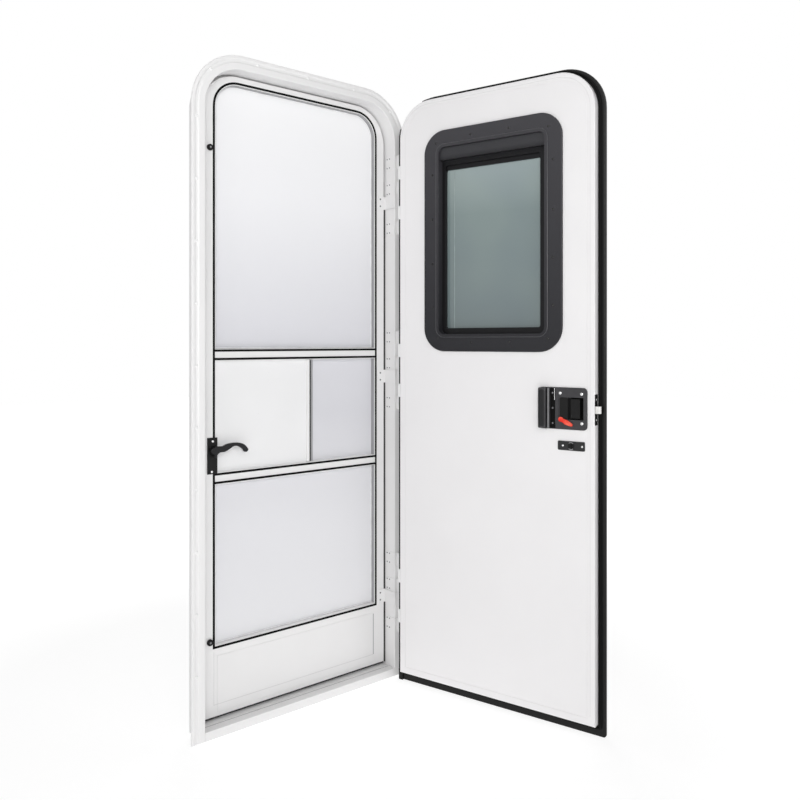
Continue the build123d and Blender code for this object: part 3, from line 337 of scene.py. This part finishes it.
# Each CAD node takes the look of its slot, but for two that take a look of their own
OWN_LOOKS = {"deadlock_plate": "deadlock_grey", "deadlock_snib": "latch_black"}
for entry in frame["record"]["subparts"]:
    look_name = OWN_LOOKS.get(entry["node"], entry["material_slot"])
    node_mesh = nodes[entry["node"]].data
    if not node_mesh.materials:
        node_mesh.materials.append(None)
    for index in range(len(node_mesh.materials)):
        node_mesh.materials[index] = LOOKS[look_name]


# Kinds of small piece

SMOOTH_BELOW = math.radians(38)
FINE_EDGE = 0.1
FINE_CORNER = 0.3
SCREW_SIDES = 16

# Screw heads in shares of radius and height: the dome from its seat up, then the slot from its rim down
DOME_RINGS = ((1.0, 0.0), (1.0, 0.4), (0.9, 0.75), (0.72, 0.96))
SLOT_RINGS = ((1.0, 1.0), (0.8, 0.35))
SLOT_REACH = 0.55
SLOT_HALF = 0.15


def new_piece(name, form, look, body):
    """Turn a form into a piece of its own that rides on a body."""
    bmesh.ops.recalc_face_normals(form, faces=form.faces)
    for face in form.faces:
        face.smooth = True
    for edge in form.edges:
        edge.smooth = edge.calc_face_angle(math.pi) < SMOOTH_BELOW
    mesh = bpy.data.meshes.new(name)
    form.to_mesh(mesh)
    form.free()
    mesh.materials.append(LOOKS[look])
    piece = bpy.data.objects.new(name, mesh)
    bpy.context.collection.objects.link(piece)
    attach(piece, body)


def skin_rings(form, rings, closed=False):
    """Faces between rings of points, with the two ends capped or the rings joined end to end."""
    points = [[form.verts.new(point) for point in ring] for ring in rings]
    pairs = list(zip(points, points[1:]))
    if closed:
        pairs.append((points[-1], points[0]))
    count = len(points[0])
    for first, second in pairs:
        for place in range(count):
            after = (place + 1) % count
            form.faces.new((first[place], first[after], second[after], second[place]))
    if not closed:
        form.faces.new(points[0])
        form.faces.new(points[-1])


def slot_edge(angle):
    """Distance from the middle of a cross slot to its edge, as a share of the head's radius."""
    off = (angle + math.pi / 4) % (math.pi / 2) - math.pi / 4
    return min(SLOT_REACH / math.cos(off), SLOT_HALF / max(abs(math.sin(off)), 1e-6))


def add_screw(form, place, outward, radius, height, matrix):
    """Pan-head screw with a cross slot, seated at a place and facing outward."""
    turn = Vector(outward).to_track_quat("Z", "Y").to_matrix().to_4x4()
    seat = matrix @ Matrix.Translation(place) @ turn
    angles = [2 * math.pi * side / SCREW_SIDES for side in range(SCREW_SIDES)]

    def ring(reaches, rise):
        return [
            seat @ Vector((radius * reach * math.cos(a), radius * reach * math.sin(a), height * rise))
            for reach, a in zip(reaches, angles)]

    rings = [ring([share] * SCREW_SIDES, rise) for share, rise in DOME_RINGS]
    rings += [ring([share * slot_edge(a) for a in angles], rise) for share, rise in SLOT_RINGS]
    skin_rings(form, rings)


def screws(name, look, body, places, outward, radius, height, matrix=CLOSED):
    """One piece with a like screw at each place."""
    form = bmesh.new()
    for place in places:
        add_screw(form, Vector(place), outward, radius, height, matrix)
    new_piece(name, form, look, body)


def rounded(x_low, x_high, z_low, z_high, radius, steps=6):
    """Outline with round corners, as points (x, z)."""
    corners = (
        (x_high - radius, z_high - radius, 0), (x_low + radius, z_high - radius, 1),
        (x_low + radius, z_low + radius, 2), (x_high - radius, z_low + radius, 3))
    points = []
    for x, z, quarter in corners:
        for step in range(steps + 1):
            angle = (quarter + step / steps) * math.pi / 2
            points.append((x + radius * math.cos(angle), z + radius * math.sin(angle)))
    return points


def bow(x, y, radius, thick, first, last, steps=10):
    """Outline of a bent strip: an outer and an inner arc about a point, between two angles in degrees."""
    angles = [math.radians(first + (last - first) * step / steps) for step in range(steps + 1)]
    inside = radius - thick
    outer = [(x + radius * math.cos(a), y + radius * math.sin(a)) for a in angles]
    inner = [(x + inside * math.cos(a), y + inside * math.sin(a)) for a in reversed(angles)]
    return outer + inner


def plate(name, look, body, slot, outline, y_back, y_face, edge, matrix):
    """Thin plate with a softened front edge; its face looks along the way from y_back to y_face."""
    middle_x = sum(x for x, _ in outline) / len(outline)
    middle_z = sum(z for _, z in outline) / len(outline)
    y_edge = y_face + (edge if y_back > y_face else -edge)

    def ring(inset, y):
        points = []
        for x, z in outline:
            share = 1 - inset / math.hypot(x - middle_x, z - middle_z)
            points.append(matrix @ Vector((
                middle_x + (x - middle_x) * share, y, middle_z + (z - middle_z) * share)))
        return points

    form = bmesh.new()
    skin_rings(form, [ring(0, y_back), ring(0, y_edge), ring(edge, y_face)])
    new_piece(name, form, look, body)


def upright(name, look, body, slot, section, z_low, z_high, matrix):
    """Straight length of a section (x, y) between two heights."""
    form = bmesh.new()
    skin_rings(form, [[matrix @ Vector((x, y, z)) for x, y in section] for z in (z_low, z_high)])
    new_piece(name, form, look, body)


def arc_stops(x, z, radius, first, turn, count):
    """Stops on an arc, each with its place and the way out from the middle; angles in degrees."""
    stops = []
    for step in range(count):
        angle = math.radians(first + turn * step)
        out = (math.cos(angle), math.sin(angle))
        stops.append(((x + radius * out[0], z + radius * out[1]), out))
    return stops


def door_strip(name, look, stops, section, seat):
    """Strip along stops on the outer door; its section is points (way out, rise above the seat)."""
    form = bmesh.new()
    skin_rings(form, [
        [SWUNG @ Vector((x + way * out_x, seat + rise, z + way * out_z)) for way, rise in section]
        for (x, z), (out_x, out_z) in stops])
    new_piece(name, form, look, "main_door")


def knuckle_heights(place):
    """Middle heights of one knuckle place on the three hinges."""
    return [centre + HINGE_TOP - place * KNUCKLE_PITCH for centre in HINGE_CENTRES]


# Screws of the flange: ten in each jamb, one at each bent corner and three along the head
FLANGE_FACE = -3
FLANGE_SCREW_X = 340.5
FLANGE_FIRST_Z = 160
FLANGE_PITCH = 162
FLANGE_ROWS = 10
FLANGE_CORNER_X = 300.8
FLANGE_CORNER_Z = 1748.8
FLANGE_HEAD_Z = 1788.5
flange_places = [
    (side * FLANGE_SCREW_X, FLANGE_FACE, FLANGE_FIRST_Z + FLANGE_PITCH * row)
    for side in SIDES for row in range(FLANGE_ROWS)]
flange_places += [(side * FLANGE_CORNER_X, FLANGE_FACE, FLANGE_CORNER_Z) for side in SIDES]
flange_places += [(step * FLANGE_PITCH, FLANGE_FACE, FLANGE_HEAD_Z) for step in (-1, 0, 1)]
screws(
    "flange_screws", "screw_white", "frame", flange_places, OUTWARD,
    radius=4.2, height=1.9)

# Other screws of the frame
FRAME_LEAF_X = 315
FRAME_LEAF_ROWS = (19, 31)
FRAME_LEAF_RISE = 14
STRIKE_X = -317
STRIKE_Y = 8
STRIKE_RISE = 42.5
screws(
    "frame_leaf_screws", "screw_dark", "frame",
    [(FRAME_LEAF_X, y, z + side * FRAME_LEAF_RISE) for place in FRAME_KNUCKLES
     for z in knuckle_heights(place) for y in FRAME_LEAF_ROWS for side in SIDES],
    LATCHWARD, radius=2.2, height=0.7)
screws(
    "strike_screws", "screw_steel", "frame",
    [(STRIKE_X, STRIKE_Y, BOLT_Z + side * STRIKE_RISE) for side in SIDES],
    HINGEWARD, radius=3.0, height=0.8)

# Screws of the outer door
RING_SEAT = 18
RING_SCREWS = (
    (173.6, 1622), (57, 1632), (-65, 1632), (-183, 1618),
    (-197, 1527), (-197, 1391), (-196, 1261), (-197, 1131),
    (-182.5, 1040), (-67, 1031), (55, 1029), (168.5, 1042),
    (184.5, 1133), (185, 1263), (185.5, 1396), (186, 1528))
LATCH_SCREWS = ((-217, 893), (-277.5, 892), (-277.7, 813.5))
BOSS_X = -195
BOSS_PITCH = 41
DEADLOCK_SCREWS_X = (-224, -278)
FACEPLATE_X = -312
FACEPLATE_Y = 1
FACEPLATE_RISE = 27
DOOR_LEAF_X = 314
DOOR_LEAF_Y = -2
DOOR_LEAF_RISE = 12
screws(
    "window_ring_screws", "screw_black", "main_door",
    [(x, RING_SEAT, z) for x, z in RING_SCREWS], INWARD, radius=3.4, height=1.5, matrix=SWUNG)
screws(
    "latch_screws", "screw_steel", "main_door",
    [(x, LATCH_FACE, z) for x, z in LATCH_SCREWS], INWARD, radius=4.2, height=2.0, matrix=SWUNG)
screws(
    "latch_boss_screws", "screw_dark", "main_door",
    [(BOSS_X, LATCH_FACE, LATCH_Z + BOSS_PITCH * step) for step in (-1, 0, 1)],
    INWARD, radius=2.3, height=1.0, matrix=SWUNG)
screws(
    "deadlock_screws", "screw_steel", "main_door",
    [(x, DEADLOCK_FACE, DEADLOCK_Z) for x in DEADLOCK_SCREWS_X],
    INWARD, radius=2.8, height=1.3, matrix=SWUNG)
screws(
    "faceplate_screws", "screw_steel", "main_door",
    [(FACEPLATE_X, FACEPLATE_Y, BOLT_Z + side * FACEPLATE_RISE) for side in SIDES],
    LATCHWARD, radius=3.0, height=0.8, matrix=SWUNG)
screws(
    "door_leaf_screws", "screw_dark", "main_door",
    [(DOOR_LEAF_X, DOOR_LEAF_Y, z + side * DOOR_LEAF_RISE) for place in DOOR_KNUCKLES
     for z in knuckle_heights(place) for side in SIDES],
    HINGEWARD, radius=2.4, height=0.7, matrix=SWUNG)

# Screws of the screen door
SCREEN_LEAF_X = 295.5
SCREEN_LEAF_FACE = 41
SCREEN_LEAF_RISE = 11
LEVER_PLATE_FACE = 40
LEVER_PLATE_SCREWS = ((-274.7, 763), (-277.5, 681))
BUMPER_X = -282.5
BUMPER_FACE = 36
BUMPER_HEIGHTS = (1554, 223)
screws(
    "screen_leaf_screws", "screw_dark", "screen_door",
    [(SCREEN_LEAF_X, SCREEN_LEAF_FACE, z + side * SCREEN_LEAF_RISE)
     for z in knuckle_heights(SCREEN_KNUCKLE) for side in SIDES],
    OUTWARD, radius=2.8, height=1.0)
screws(
    "lever_plate_screws", "screw_steel", "screen_door",
    [(x, LEVER_PLATE_FACE, z) for x, z in LEVER_PLATE_SCREWS], OUTWARD, radius=3.2, height=1.2)
screws(
    "bumper_screws", "screw_dark", "screen_door",
    [(BUMPER_X, BUMPER_FACE, z) for z in BUMPER_HEIGHTS], OUTWARD, radius=2.8, height=0.6)

# Insides of the latch plate: black sheets as painted shade in the channel, the gap, the slit and the cup
# floor, and the black flap
PLATE_HALF = 54
FLAT_CORNER = 0.5
CHANNEL_X = (-202.3, -187.7)
CHANNEL_Y = (13, 13.4)
CHANNEL_HALF = 45.3
CHANNEL_END = 54.5
CHANNEL_END_X = (-203.5, -187.7)
CHANNEL_END_Y = (LATCH_FACE, 16.2)
GAP_X = (-181.4, -178.6)
GAP_Y = (LATCH_FACE, 16.4)
FLAP_X = (-238.4, -215.0)
FLAP_Y = (14.5, 15.6)
FLAP_HALF = 29.5
FLAP_CORNER = 4.5
FLAP_EDGE = 0.4
SLIT_X = (-240.9, -238.5)
SLIT_Y = (14.5, 15.0)
CUP_X = (-281.8, -241.2)
CUP_Y = (-2, -1.6)
CUP_HALF = 29.8
CUP_CORNER = 1.0


def latch_flat(name, x_range, z_range, y_range, look="seal_black", corner=FLAT_CORNER, edge=FINE_EDGE):
    """Flat piece in the latch plate; its heights are from the middle of the latch."""
    outline = rounded(*x_range, LATCH_Z + z_range[0], LATCH_Z + z_range[1], corner)
    plate(name, look, "main_door", "latch_black", outline, *y_range, edge, SWUNG)


# Painted shade: black sheets in the channel of the latch plate and at its ends
latch_flat("latch_channel", CHANNEL_X, (-CHANNEL_HALF, CHANNEL_HALF), CHANNEL_Y)
latch_flat("latch_channel_head", CHANNEL_END_X, (CHANNEL_HALF, CHANNEL_END), CHANNEL_END_Y)
latch_flat("latch_channel_foot", CHANNEL_END_X, (-CHANNEL_END, -CHANNEL_HALF), CHANNEL_END_Y)

# Hinge pin in the channel of the latch plate
LATCH_PIN_X = -200.6
LATCH_PIN_Y = 16.2
LATCH_PIN_R = 0.8
LATCH_PIN_TURN = 0.6
LATCH_PIN_SIDES = 10
LATCH_PIN_RANGE = (LATCH_Z + 22, LATCH_Z + PLATE_HALF)
pin_section = []
for pin_side in range(LATCH_PIN_SIDES):
    pin_angle = LATCH_PIN_TURN * pin_side
    pin_section.append((
        LATCH_PIN_X + LATCH_PIN_R * math.cos(pin_angle), LATCH_PIN_Y + LATCH_PIN_R * math.sin(pin_angle)))
upright("latch_pin", "screw_steel", "main_door", "pin_steel", pin_section, *LATCH_PIN_RANGE, SWUNG)

# Painted shade: black sheets in the gap, the slit and the cup floor; the flap is black of its own
latch_flat("latch_gap", GAP_X, (-PLATE_HALF, PLATE_HALF), GAP_Y)
latch_flat(
    "latch_flap", FLAP_X, (-FLAP_HALF, FLAP_HALF), FLAP_Y,
    look="latch_black", corner=FLAP_CORNER, edge=FLAP_EDGE)
latch_flat("latch_slit", SLIT_X, (-FLAP_HALF, FLAP_HALF), SLIT_Y)
latch_flat("latch_cup_floor", CUP_X, (-CUP_HALF, CUP_HALF), CUP_Y, corner=CUP_CORNER)

# Barrel that the paddle turns on
BARREL_X = -244.3
BARREL_Y = 12
BARREL_R = 3.25
BARREL_SKIN = 0.2
BARREL_ANGLES = (15, 165)
BARREL_RANGE = (LATCH_Z - 28, LATCH_Z + 28)
upright(
    "paddle_barrel_cover", "seal_black", "paddle", "latch_black",
    bow(BARREL_X, BARREL_Y, BARREL_R, BARREL_SKIN, *BARREL_ANGLES), *BARREL_RANGE, SWUNG)

# Rounded grip of the latch plate, and a light grey cap on its ridge as a painted highlight
GRIP_LOW_X = -178.8
GRIP_HIGH_X = -155.2
GRIP_RISE = 11.5
GRIP_END_SHARE = 0.55
GRIP_CORNER_R = 11
GRIP_STRAIGHT = 45.5
GRIP_STEPS = 16
GRIP_FULLNESS = 0.5
GRIP_PAST_CORNER = (0, 2, 4, 6, 8, 9.5, 10.5)
RIDGE_SECTION = ((-187.2, 21), (-187.2, 22.1), (-186.2, 22.5), (-182.8, 22.5), (-181.8, 22.1), (-181.8, 21))


def grip_ring(past, side):
    """Section of the grip, drawn in at a distance past the start of its round corner."""
    share = math.sqrt(max(0, 1 - (past / GRIP_CORNER_R) ** 2))
    width = GRIP_HIGH_X - GRIP_LOW_X - GRIP_CORNER_R * (1 - share)
    height = GRIP_RISE * (GRIP_END_SHARE + (1 - GRIP_END_SHARE) * share)
    z = LATCH_Z + side * (GRIP_STRAIGHT + past)
    points = []
    for step in range(GRIP_STEPS + 1):
        angle = math.pi * step / GRIP_STEPS
        across = math.copysign(abs(math.cos(angle)) ** GRIP_FULLNESS, math.cos(angle))
        rise = height * abs(math.sin(angle)) ** GRIP_FULLNESS
        points.append(SWUNG @ Vector((GRIP_LOW_X + width * (across + 1) / 2, LATCH_FACE + rise, z)))
    return points


grip_rings = [grip_ring(past, -1) for past in reversed(GRIP_PAST_CORNER)]
grip_rings += [grip_ring(past, 1) for past in GRIP_PAST_CORNER]
grip_form = bmesh.new()
skin_rings(grip_form, grip_rings)
new_piece("latch_grip_cover", grip_form, "grip_grey", "main_door")
upright(
    "latch_ridge_cap", "ridge_highlight_grey", "main_door", "latch_grey",
    RIDGE_SECTION, LATCH_Z - PLATE_HALF, LATCH_Z + PLATE_HALF, SWUNG)

# Steel arcs above and below the deadlock knob: painted highlights where its rim catches the light
KNOB_ARC_R = 9.9
KNOB_ARC_THICK = 1.2
KNOB_ARC_TURN = 80
KNOB_ARC_RISE = 0.5
KNOB_ARC_EDGE = 0.05
for piece_name, start in (("deadlock_arc_upper", 50), ("deadlock_arc_lower", 230)):
    plate(
        piece_name, "arc_highlight_steel", "main_door", "pin_steel",
        bow(DEADLOCK_X, DEADLOCK_Z, KNOB_ARC_R, KNOB_ARC_THICK, start, start + KNOB_ARC_TURN),
        DEADLOCK_FACE, DEADLOCK_FACE + KNOB_ARC_RISE, KNOB_ARC_EDGE, SWUNG)

# Pressed line along the latch edge and the head of the pan, in a darker white as painted shade along the
# crease
PRESS_X = 299
PRESS_R = 93
PRESS_FOOT_Z = 40
PRESS_SECTION = ((-0.7, 0), (-0.4, 0.25), (0.4, 0.25), (0.7, 0))
press_stops = [((-PRESS_X, PRESS_FOOT_Z), (-1, 0))]
press_stops += arc_stops(-ARC_X, ARC_Z, PRESS_R, first=180, turn=-5, count=19)
press_stops += arc_stops(ARC_X, ARC_Z, PRESS_R, first=90, turn=-5, count=19)
door_strip("pan_press_line", "press_shade_white", press_stops, PRESS_SECTION, PAN_FACE)

# Weather strip on the hinge jamb, beside the screen door
STRIP_SECTION = ((317, 43.5), (315.6, 44), (315.2, 46), (315.2, 49), (315.6, 51), (317, 51.5))
STRIP_RANGE = (15, 1468)
upright("jamb_weather_strip", "strip_grey", "frame", "seal_black", STRIP_SECTION, *STRIP_RANGE, CLOSED)

# Bead on the raised inner edge of the window ring
RING_X = (-181, 173)
RING_Z = (1045, 1617)
RING_CORNER_R = 27
BEAD_SEAT = 18.4
BEAD_R = 1.3
BEAD_SIDES = 8


def ring_bead():
    """Thin round bead along the opening of the ring."""
    path = rounded(*RING_X, *RING_Z, RING_CORNER_R, steps=8)
    middle = Vector((sum(RING_X) / 2, sum(RING_Z) / 2))
    angles = [2 * math.pi * side / BEAD_SIDES for side in range(BEAD_SIDES)]
    rings = []
    for place, (x, z) in enumerate(path):
        along = (Vector(path[(place + 1) % len(path)]) - Vector(path[place - 1])).normalized()
        out = Vector((along.y, -along.x))
        if out.dot(Vector((x, z)) - middle) < 0:
            out = -out
        ring = []
        for angle in angles:
            across = BEAD_R * math.cos(angle)
            rise = BEAD_R * math.sin(angle)
            ring.append(SWUNG @ Vector((x + out.x * across, BEAD_SEAT + rise, z + out.y * across)))
        rings.append(ring)
    form = bmesh.new()
    skin_rings(form, rings, closed=True)
    new_piece("window_ring_bead", form, "bead_grey", "main_door")


ring_bead()

# Edge of the sliding pane behind the fixed one
PANE_EDGE_X = (127.6, 129.4)
PANE_EDGE_Z = (1069, 1544)
PANE_EDGE_Y = (-16, -15.4)
PANE_EDGE_CORNER = 0.4
plate(
    "pane_edge", "pane_edge_green", "main_door", "window_pane",
    rounded(*PANE_EDGE_X, *PANE_EDGE_Z, PANE_EDGE_CORNER), *PANE_EDGE_Y, FINE_EDGE, SWUNG)

# Rubber bulb along the foot, the latch edge and the head of the outer door's lip
SEAL_SECTION = ((-4, 0), (-4, 2), (-3.2, 4.2), (-1.6, 5.6), (0, 6), (1.6, 5.6), (3.2, 4.2), (4, 2), (4, 0))
SEAL_SIDE_X = 319.5
SEAL_HINGE_END_X = 300
SEAL_FOOT_Z = 4
SEAL_FOOT_R = 6
SEAL_ARC_R = 113.5
seal_corner_x = -SEAL_SIDE_X + SEAL_FOOT_R
seal_stops = [((SEAL_HINGE_END_X, SEAL_FOOT_Z), (0, -1)), ((seal_corner_x, SEAL_FOOT_Z), (0, -1))]
seal_stops += arc_stops(
    seal_corner_x, SEAL_FOOT_Z + SEAL_FOOT_R, SEAL_FOOT_R, first=255, turn=-15, count=5)
seal_stops += arc_stops(-ARC_X, ARC_Z, SEAL_ARC_R, first=180, turn=-5, count=19)
seal_stops += arc_stops(ARC_X, ARC_Z, SEAL_ARC_R, first=90, turn=-4, count=5)
door_strip("lip_seal", "seal_black", seal_stops, SEAL_SECTION, LIP_BACK)

# Sweep of the kick panel and painted shadows in its joints, as thin strips on the screen door: name, look,
# slot, x range, z range
KICK_FACE = 43
KICK_STRIP_FACE = 42.6
KICK_STRIPS = (
    ("screen_sweep", "sweep_grey", "seal_black", (-306, 309), (14.4, 18.8)),
    ("kick_joint_hinge", "joint_shadow_grey", "screen_white", (267.4, 270.4), (51, 178)),
    ("kick_joint_latch", "faint_shadow_grey", "screen_white", (-271.0, -269.6), (48, 193)),
    ("kick_joint_foot", "faint_shadow_grey", "screen_white", (-269.4, 267.2), (49.8, 51.4)))
for piece_name, look_name, slot_name, x_range, z_range in KICK_STRIPS:
    plate(
        piece_name, look_name, "screen_door", slot_name,
        rounded(*x_range, *z_range, FINE_CORNER), KICK_FACE, KICK_STRIP_FACE, FINE_EDGE, CLOSED)

# Grey strip in the groove of the sill, as painted shade in the groove
SILL_STRIP_HALF = 315
SILL_STRIP_SECTION = ((22.1, 7.5), (24.9, 7.5), (24.9, 8.6), (22.1, 8.6))
sill_form = bmesh.new()
skin_rings(sill_form, [
    [CLOSED @ Vector((side * SILL_STRIP_HALF, y, z)) for y, z in SILL_STRIP_SECTION] for side in SIDES])
new_piece("sill_strip", sill_form, "recess_shade_grey", "frame")

# Cap on the hinge end of the foot trim
CAP_SECTION = ((311, -25), (324.5, -25), (326, -23.5), (326, -10.5), (324.5, -9), (311, -9))
CAP_RANGE = (-18.8, 13)
upright("trim_foot_cap", "trim_black", "main_door", "trim_black", CAP_SECTION, *CAP_RANGE, SWUNG)

# Channels that hold the meshes, and the cords in them; the channels and the middle cord are mid grey as
# painted shade in the recess
CHANNEL_THICK = 1.2
CHANNEL_FRONT = 45
CHANNEL_SLACK = 0.05
CORD_INSET = CHANNEL_THICK + 2.2
CORD_FRONT = 57.0
MIDDLE_CORD_X = (45.2, 53.0)
MIDDLE_CORD_FRONT = 56.5
MIDDLE_CORD_EDGE = 0.3
RAIL_SLACK = 0.3
LOWER_FOOT = 210
LOWER_CHANNEL_FOOT = 212
LOWER_HEAD = LOWER_RAIL_Z - RAIL_HALF
UPPER_FOOT = UPPER_RAIL_Z + RAIL_HALF
MIDDLE_RANGE = (LOWER_RAIL_Z + RAIL_HALF + RAIL_SLACK, UPPER_RAIL_Z - RAIL_HALF - RAIL_SLACK)


def mesh_border(name, look, outer, inner, front):
    """Thin border between two outlines, from a front plane back to the mesh."""
    form = bmesh.new()
    rings = []
    for outline, y in ((outer, front), (outer, MESH_FACE), (inner, MESH_FACE), (inner, front)):
        rings.append([CLOSED @ Vector((x, y, z)) for x, z in outline])
    skin_rings(form, rings, closed=True)
    new_piece(name, form, look, "screen_door")


def arched(inset, radius):
    """Outline of the upper mesh: square at the foot, round at the head."""
    x_low = MESH_LOW_X + inset
    x_high = MESH_HIGH_X - inset
    z_low = UPPER_FOOT + inset
    z_arc = MESH_TOP - inset - radius
    points = [(x_low, z_low), (x_high, z_low)]
    for x, first in ((x_high - radius, 0), (x_low + radius, 90)):
        points += [place for place, _ in arc_stops(x, z_arc, radius, first, turn=7.5, count=13)]
    return points


def square(inset):
    """Outline of the lower mesh."""
    x_low = MESH_LOW_X + inset
    x_high = MESH_HIGH_X - inset
    z_low = LOWER_FOOT + inset
    z_high = LOWER_HEAD - inset
    return [(x_low, z_low), (x_high, z_low), (x_high, z_high), (x_low, z_high)]


mesh_border(
    "upper_mesh_channel", "recess_shade_grey", arched(CHANNEL_SLACK, MESH_CORNER_R),
    arched(CHANNEL_THICK, MESH_CORNER_R - CHANNEL_THICK), CHANNEL_FRONT)
for piece_name, z_range in (
        ("lower_mesh_channel", (LOWER_CHANNEL_FOOT, LOWER_HEAD - RAIL_SLACK)),
        ("middle_mesh_channel", MIDDLE_RANGE)):
    plate(
        piece_name, "recess_shade_grey", "screen_door", "pin_steel",
        rounded(MESH_HIGH_X - CHANNEL_THICK, MESH_HIGH_X - CHANNEL_SLACK, *z_range, FINE_CORNER),
        MESH_FACE, CHANNEL_FRONT, FINE_EDGE, CLOSED)
cord_outer = CHANNEL_THICK + CHANNEL_SLACK
mesh_border(
    "upper_mesh_cord", "spline_white", arched(cord_outer, MESH_CORNER_R - CHANNEL_THICK),
    arched(CORD_INSET, MESH_CORNER_R - CORD_INSET), CORD_FRONT)
mesh_border(
    "lower_mesh_cord", "spline_white", square(cord_outer), square(CORD_INSET), CORD_FRONT)
plate(
    "middle_mesh_cord", "recess_shade_grey", "screen_door", "pin_steel",
    rounded(*MIDDLE_CORD_X, *MIDDLE_RANGE, FINE_CORNER),
    MESH_FACE, MIDDLE_CORD_FRONT, MIDDLE_CORD_EDGE, CLOSED)


# Studio

# Lamps: name, place, aim and size in metres, power in watts, and whether gloss mirrors the lamp
LAMPS = (
    ("key", (-1.42, -2.22, 1.5), (0.1, -0.1, 1.0), 1.3, 26, True),
    ("front", (-0.2, -2.9, 2.7), (0.1, 0.0, 1.1), 2.0, 18, True),
    ("side", (-2.9, -0.9, 2.2), (0.4, -0.3, 1.3), 1.6, 12, False),
    ("back", (1.6, 2.2, 1.7), (0.2, 0.0, 1.0), 1.8, 30, True))
SURROUND_LIGHT = 0.19

# The floor glows to the camera, more with the distance from its middle, so that only a near shadow shows
FLOOR_LIGHT = 0.68
FLOOR_GREY = 0.8
SHADOW_GREY = 0.32
GLOW_REACH = (1.0, 2.2)
GLOW_LEVEL = (0.80, 1.0)
FLOOR_HALF = 12
FLOOR_GAP = 0.001


def add_area(name, place, aim, size, power, mirrored):
    """Soft square lamp aimed at a point, unseen by the camera."""
    data = bpy.data.lights.new(name, "AREA")
    data.shape = "SQUARE"
    data.size = size
    data.energy = power
    lamp = bpy.data.objects.new(name, data)
    bpy.context.collection.objects.link(lamp)
    lamp.location = place
    lamp.rotation_euler = (Vector(aim) - Vector(place)).to_track_quat("-Z", "Y").to_euler()
    lamp.visible_camera = False
    lamp.visible_glossy = mirrored


def seen_directly(tree):
    """1 for rays that the camera, a mirror or a pane sends, 0 for the rest."""
    path = tree.nodes.new("ShaderNodeLightPath")
    seen = path.outputs["Is Camera Ray"]
    for other in ("Is Glossy Ray", "Is Transmission Ray"):
        seen = maximum(tree, seen, path.outputs[other])
    return seen


def white_surround():
    """World that is white to the camera and soft light to the object."""
    world = bpy.data.worlds.new("surround")
    bpy.context.scene.world = world
    world.use_nodes = True
    tree = world.node_tree
    tree.nodes.clear()
    background = tree.nodes.new("ShaderNodeBackground")
    background.inputs["Color"].default_value = (1, 1, 1, 1)
    strength = map_range(tree, seen_directly(tree), to_range=(SURROUND_LIGHT, 1.0))
    tree.links.new(strength, background.inputs["Strength"])
    output = tree.nodes.new("ShaderNodeOutputWorld")
    tree.links.new(background.outputs["Background"], output.inputs["Surface"])


def lit_grey(tree, level, emission):
    """Diffuse grey with an emission added to it."""
    diffuse = tree.nodes.new("ShaderNodeBsdfDiffuse")
    diffuse.inputs["Color"].default_value = (*grey(level), 1)
    both = tree.nodes.new("ShaderNodeAddShader")
    tree.links.new(diffuse.outputs["BSDF"], both.inputs[0])
    tree.links.new(emission.outputs["Emission"], both.inputs[1])
    return both.outputs["Shader"]


def floor_material():
    """Floor that is white to the camera but for the shadow on it, and pale to the object, with a painted
    glow that lifts the light on it.
    """
    material = bpy.data.materials.new("floor")
    material.use_nodes = True
    tree = material.node_tree
    tree.nodes.clear()
    reach = tree.nodes.new("ShaderNodeVectorMath")
    reach.operation = "LENGTH"
    tree.links.new(object_coordinates(tree), reach.inputs[0])
    glow = tree.nodes.new("ShaderNodeEmission")
    tree.links.new(map_range(tree, reach.outputs["Value"], GLOW_REACH, GLOW_LEVEL), glow.inputs["Strength"])
    # Painted bounce light: to the object the floor glows with a pale emission of its own
    lift = tree.nodes.new("ShaderNodeEmission")
    lift.inputs["Color"].default_value = (*grey(FLOOR_LIGHT), 1)
    mix = tree.nodes.new("ShaderNodeMixShader")
    tree.links.new(seen_directly(tree), mix.inputs["Fac"])
    tree.links.new(lit_grey(tree, FLOOR_GREY, lift), mix.inputs[1])
    tree.links.new(lit_grey(tree, SHADOW_GREY, glow), mix.inputs[2])
    output = tree.nodes.new("ShaderNodeOutputMaterial")
    tree.links.new(mix.outputs["Shader"], output.inputs["Surface"])
    return material


def add_floor():
    """Plain floor just under the door set."""
    form = bmesh.new()
    bmesh.ops.create_grid(form, x_segments=1, y_segments=1, size=FLOOR_HALF)
    mesh = bpy.data.meshes.new("floor")
    form.to_mesh(mesh)
    form.free()
    mesh.materials.append(floor_material())
    floor = bpy.data.objects.new("floor", mesh)
    bpy.context.collection.objects.link(floor)
    floor.location.z = cad_box[0][2] - FLOOR_GAP


def add_camera():
    """Level camera of the photograph, with an upright shift."""
    data = bpy.data.cameras.new("camera")
    data.sensor_width = SENSOR_MM
    data.lens = FOCAL_PIXELS / IMAGE_PIXELS * SENSOR_MM
    data.shift_y = (HORIZON_PIXEL - IMAGE_PIXELS / 2) / IMAGE_PIXELS
    data.clip_start = CLIP_NEAR
    data.clip_end = CLIP_FAR
    camera = bpy.data.objects.new("camera", data)
    bpy.context.collection.objects.link(camera)
    turn = Matrix.Rotation(-math.radians(CAMERA_YAW), 4, "Z") @ Matrix.Rotation(math.radians(90), 4, "X")
    camera.matrix_world = Matrix.Translation(CAMERA_PLACE) @ turn
    bpy.context.scene.camera = camera


white_surround()
add_floor()
for lamp_row in LAMPS:
    add_area(*lamp_row)
add_camera()
bpy.context.scene.view_settings.view_transform = "Standard"
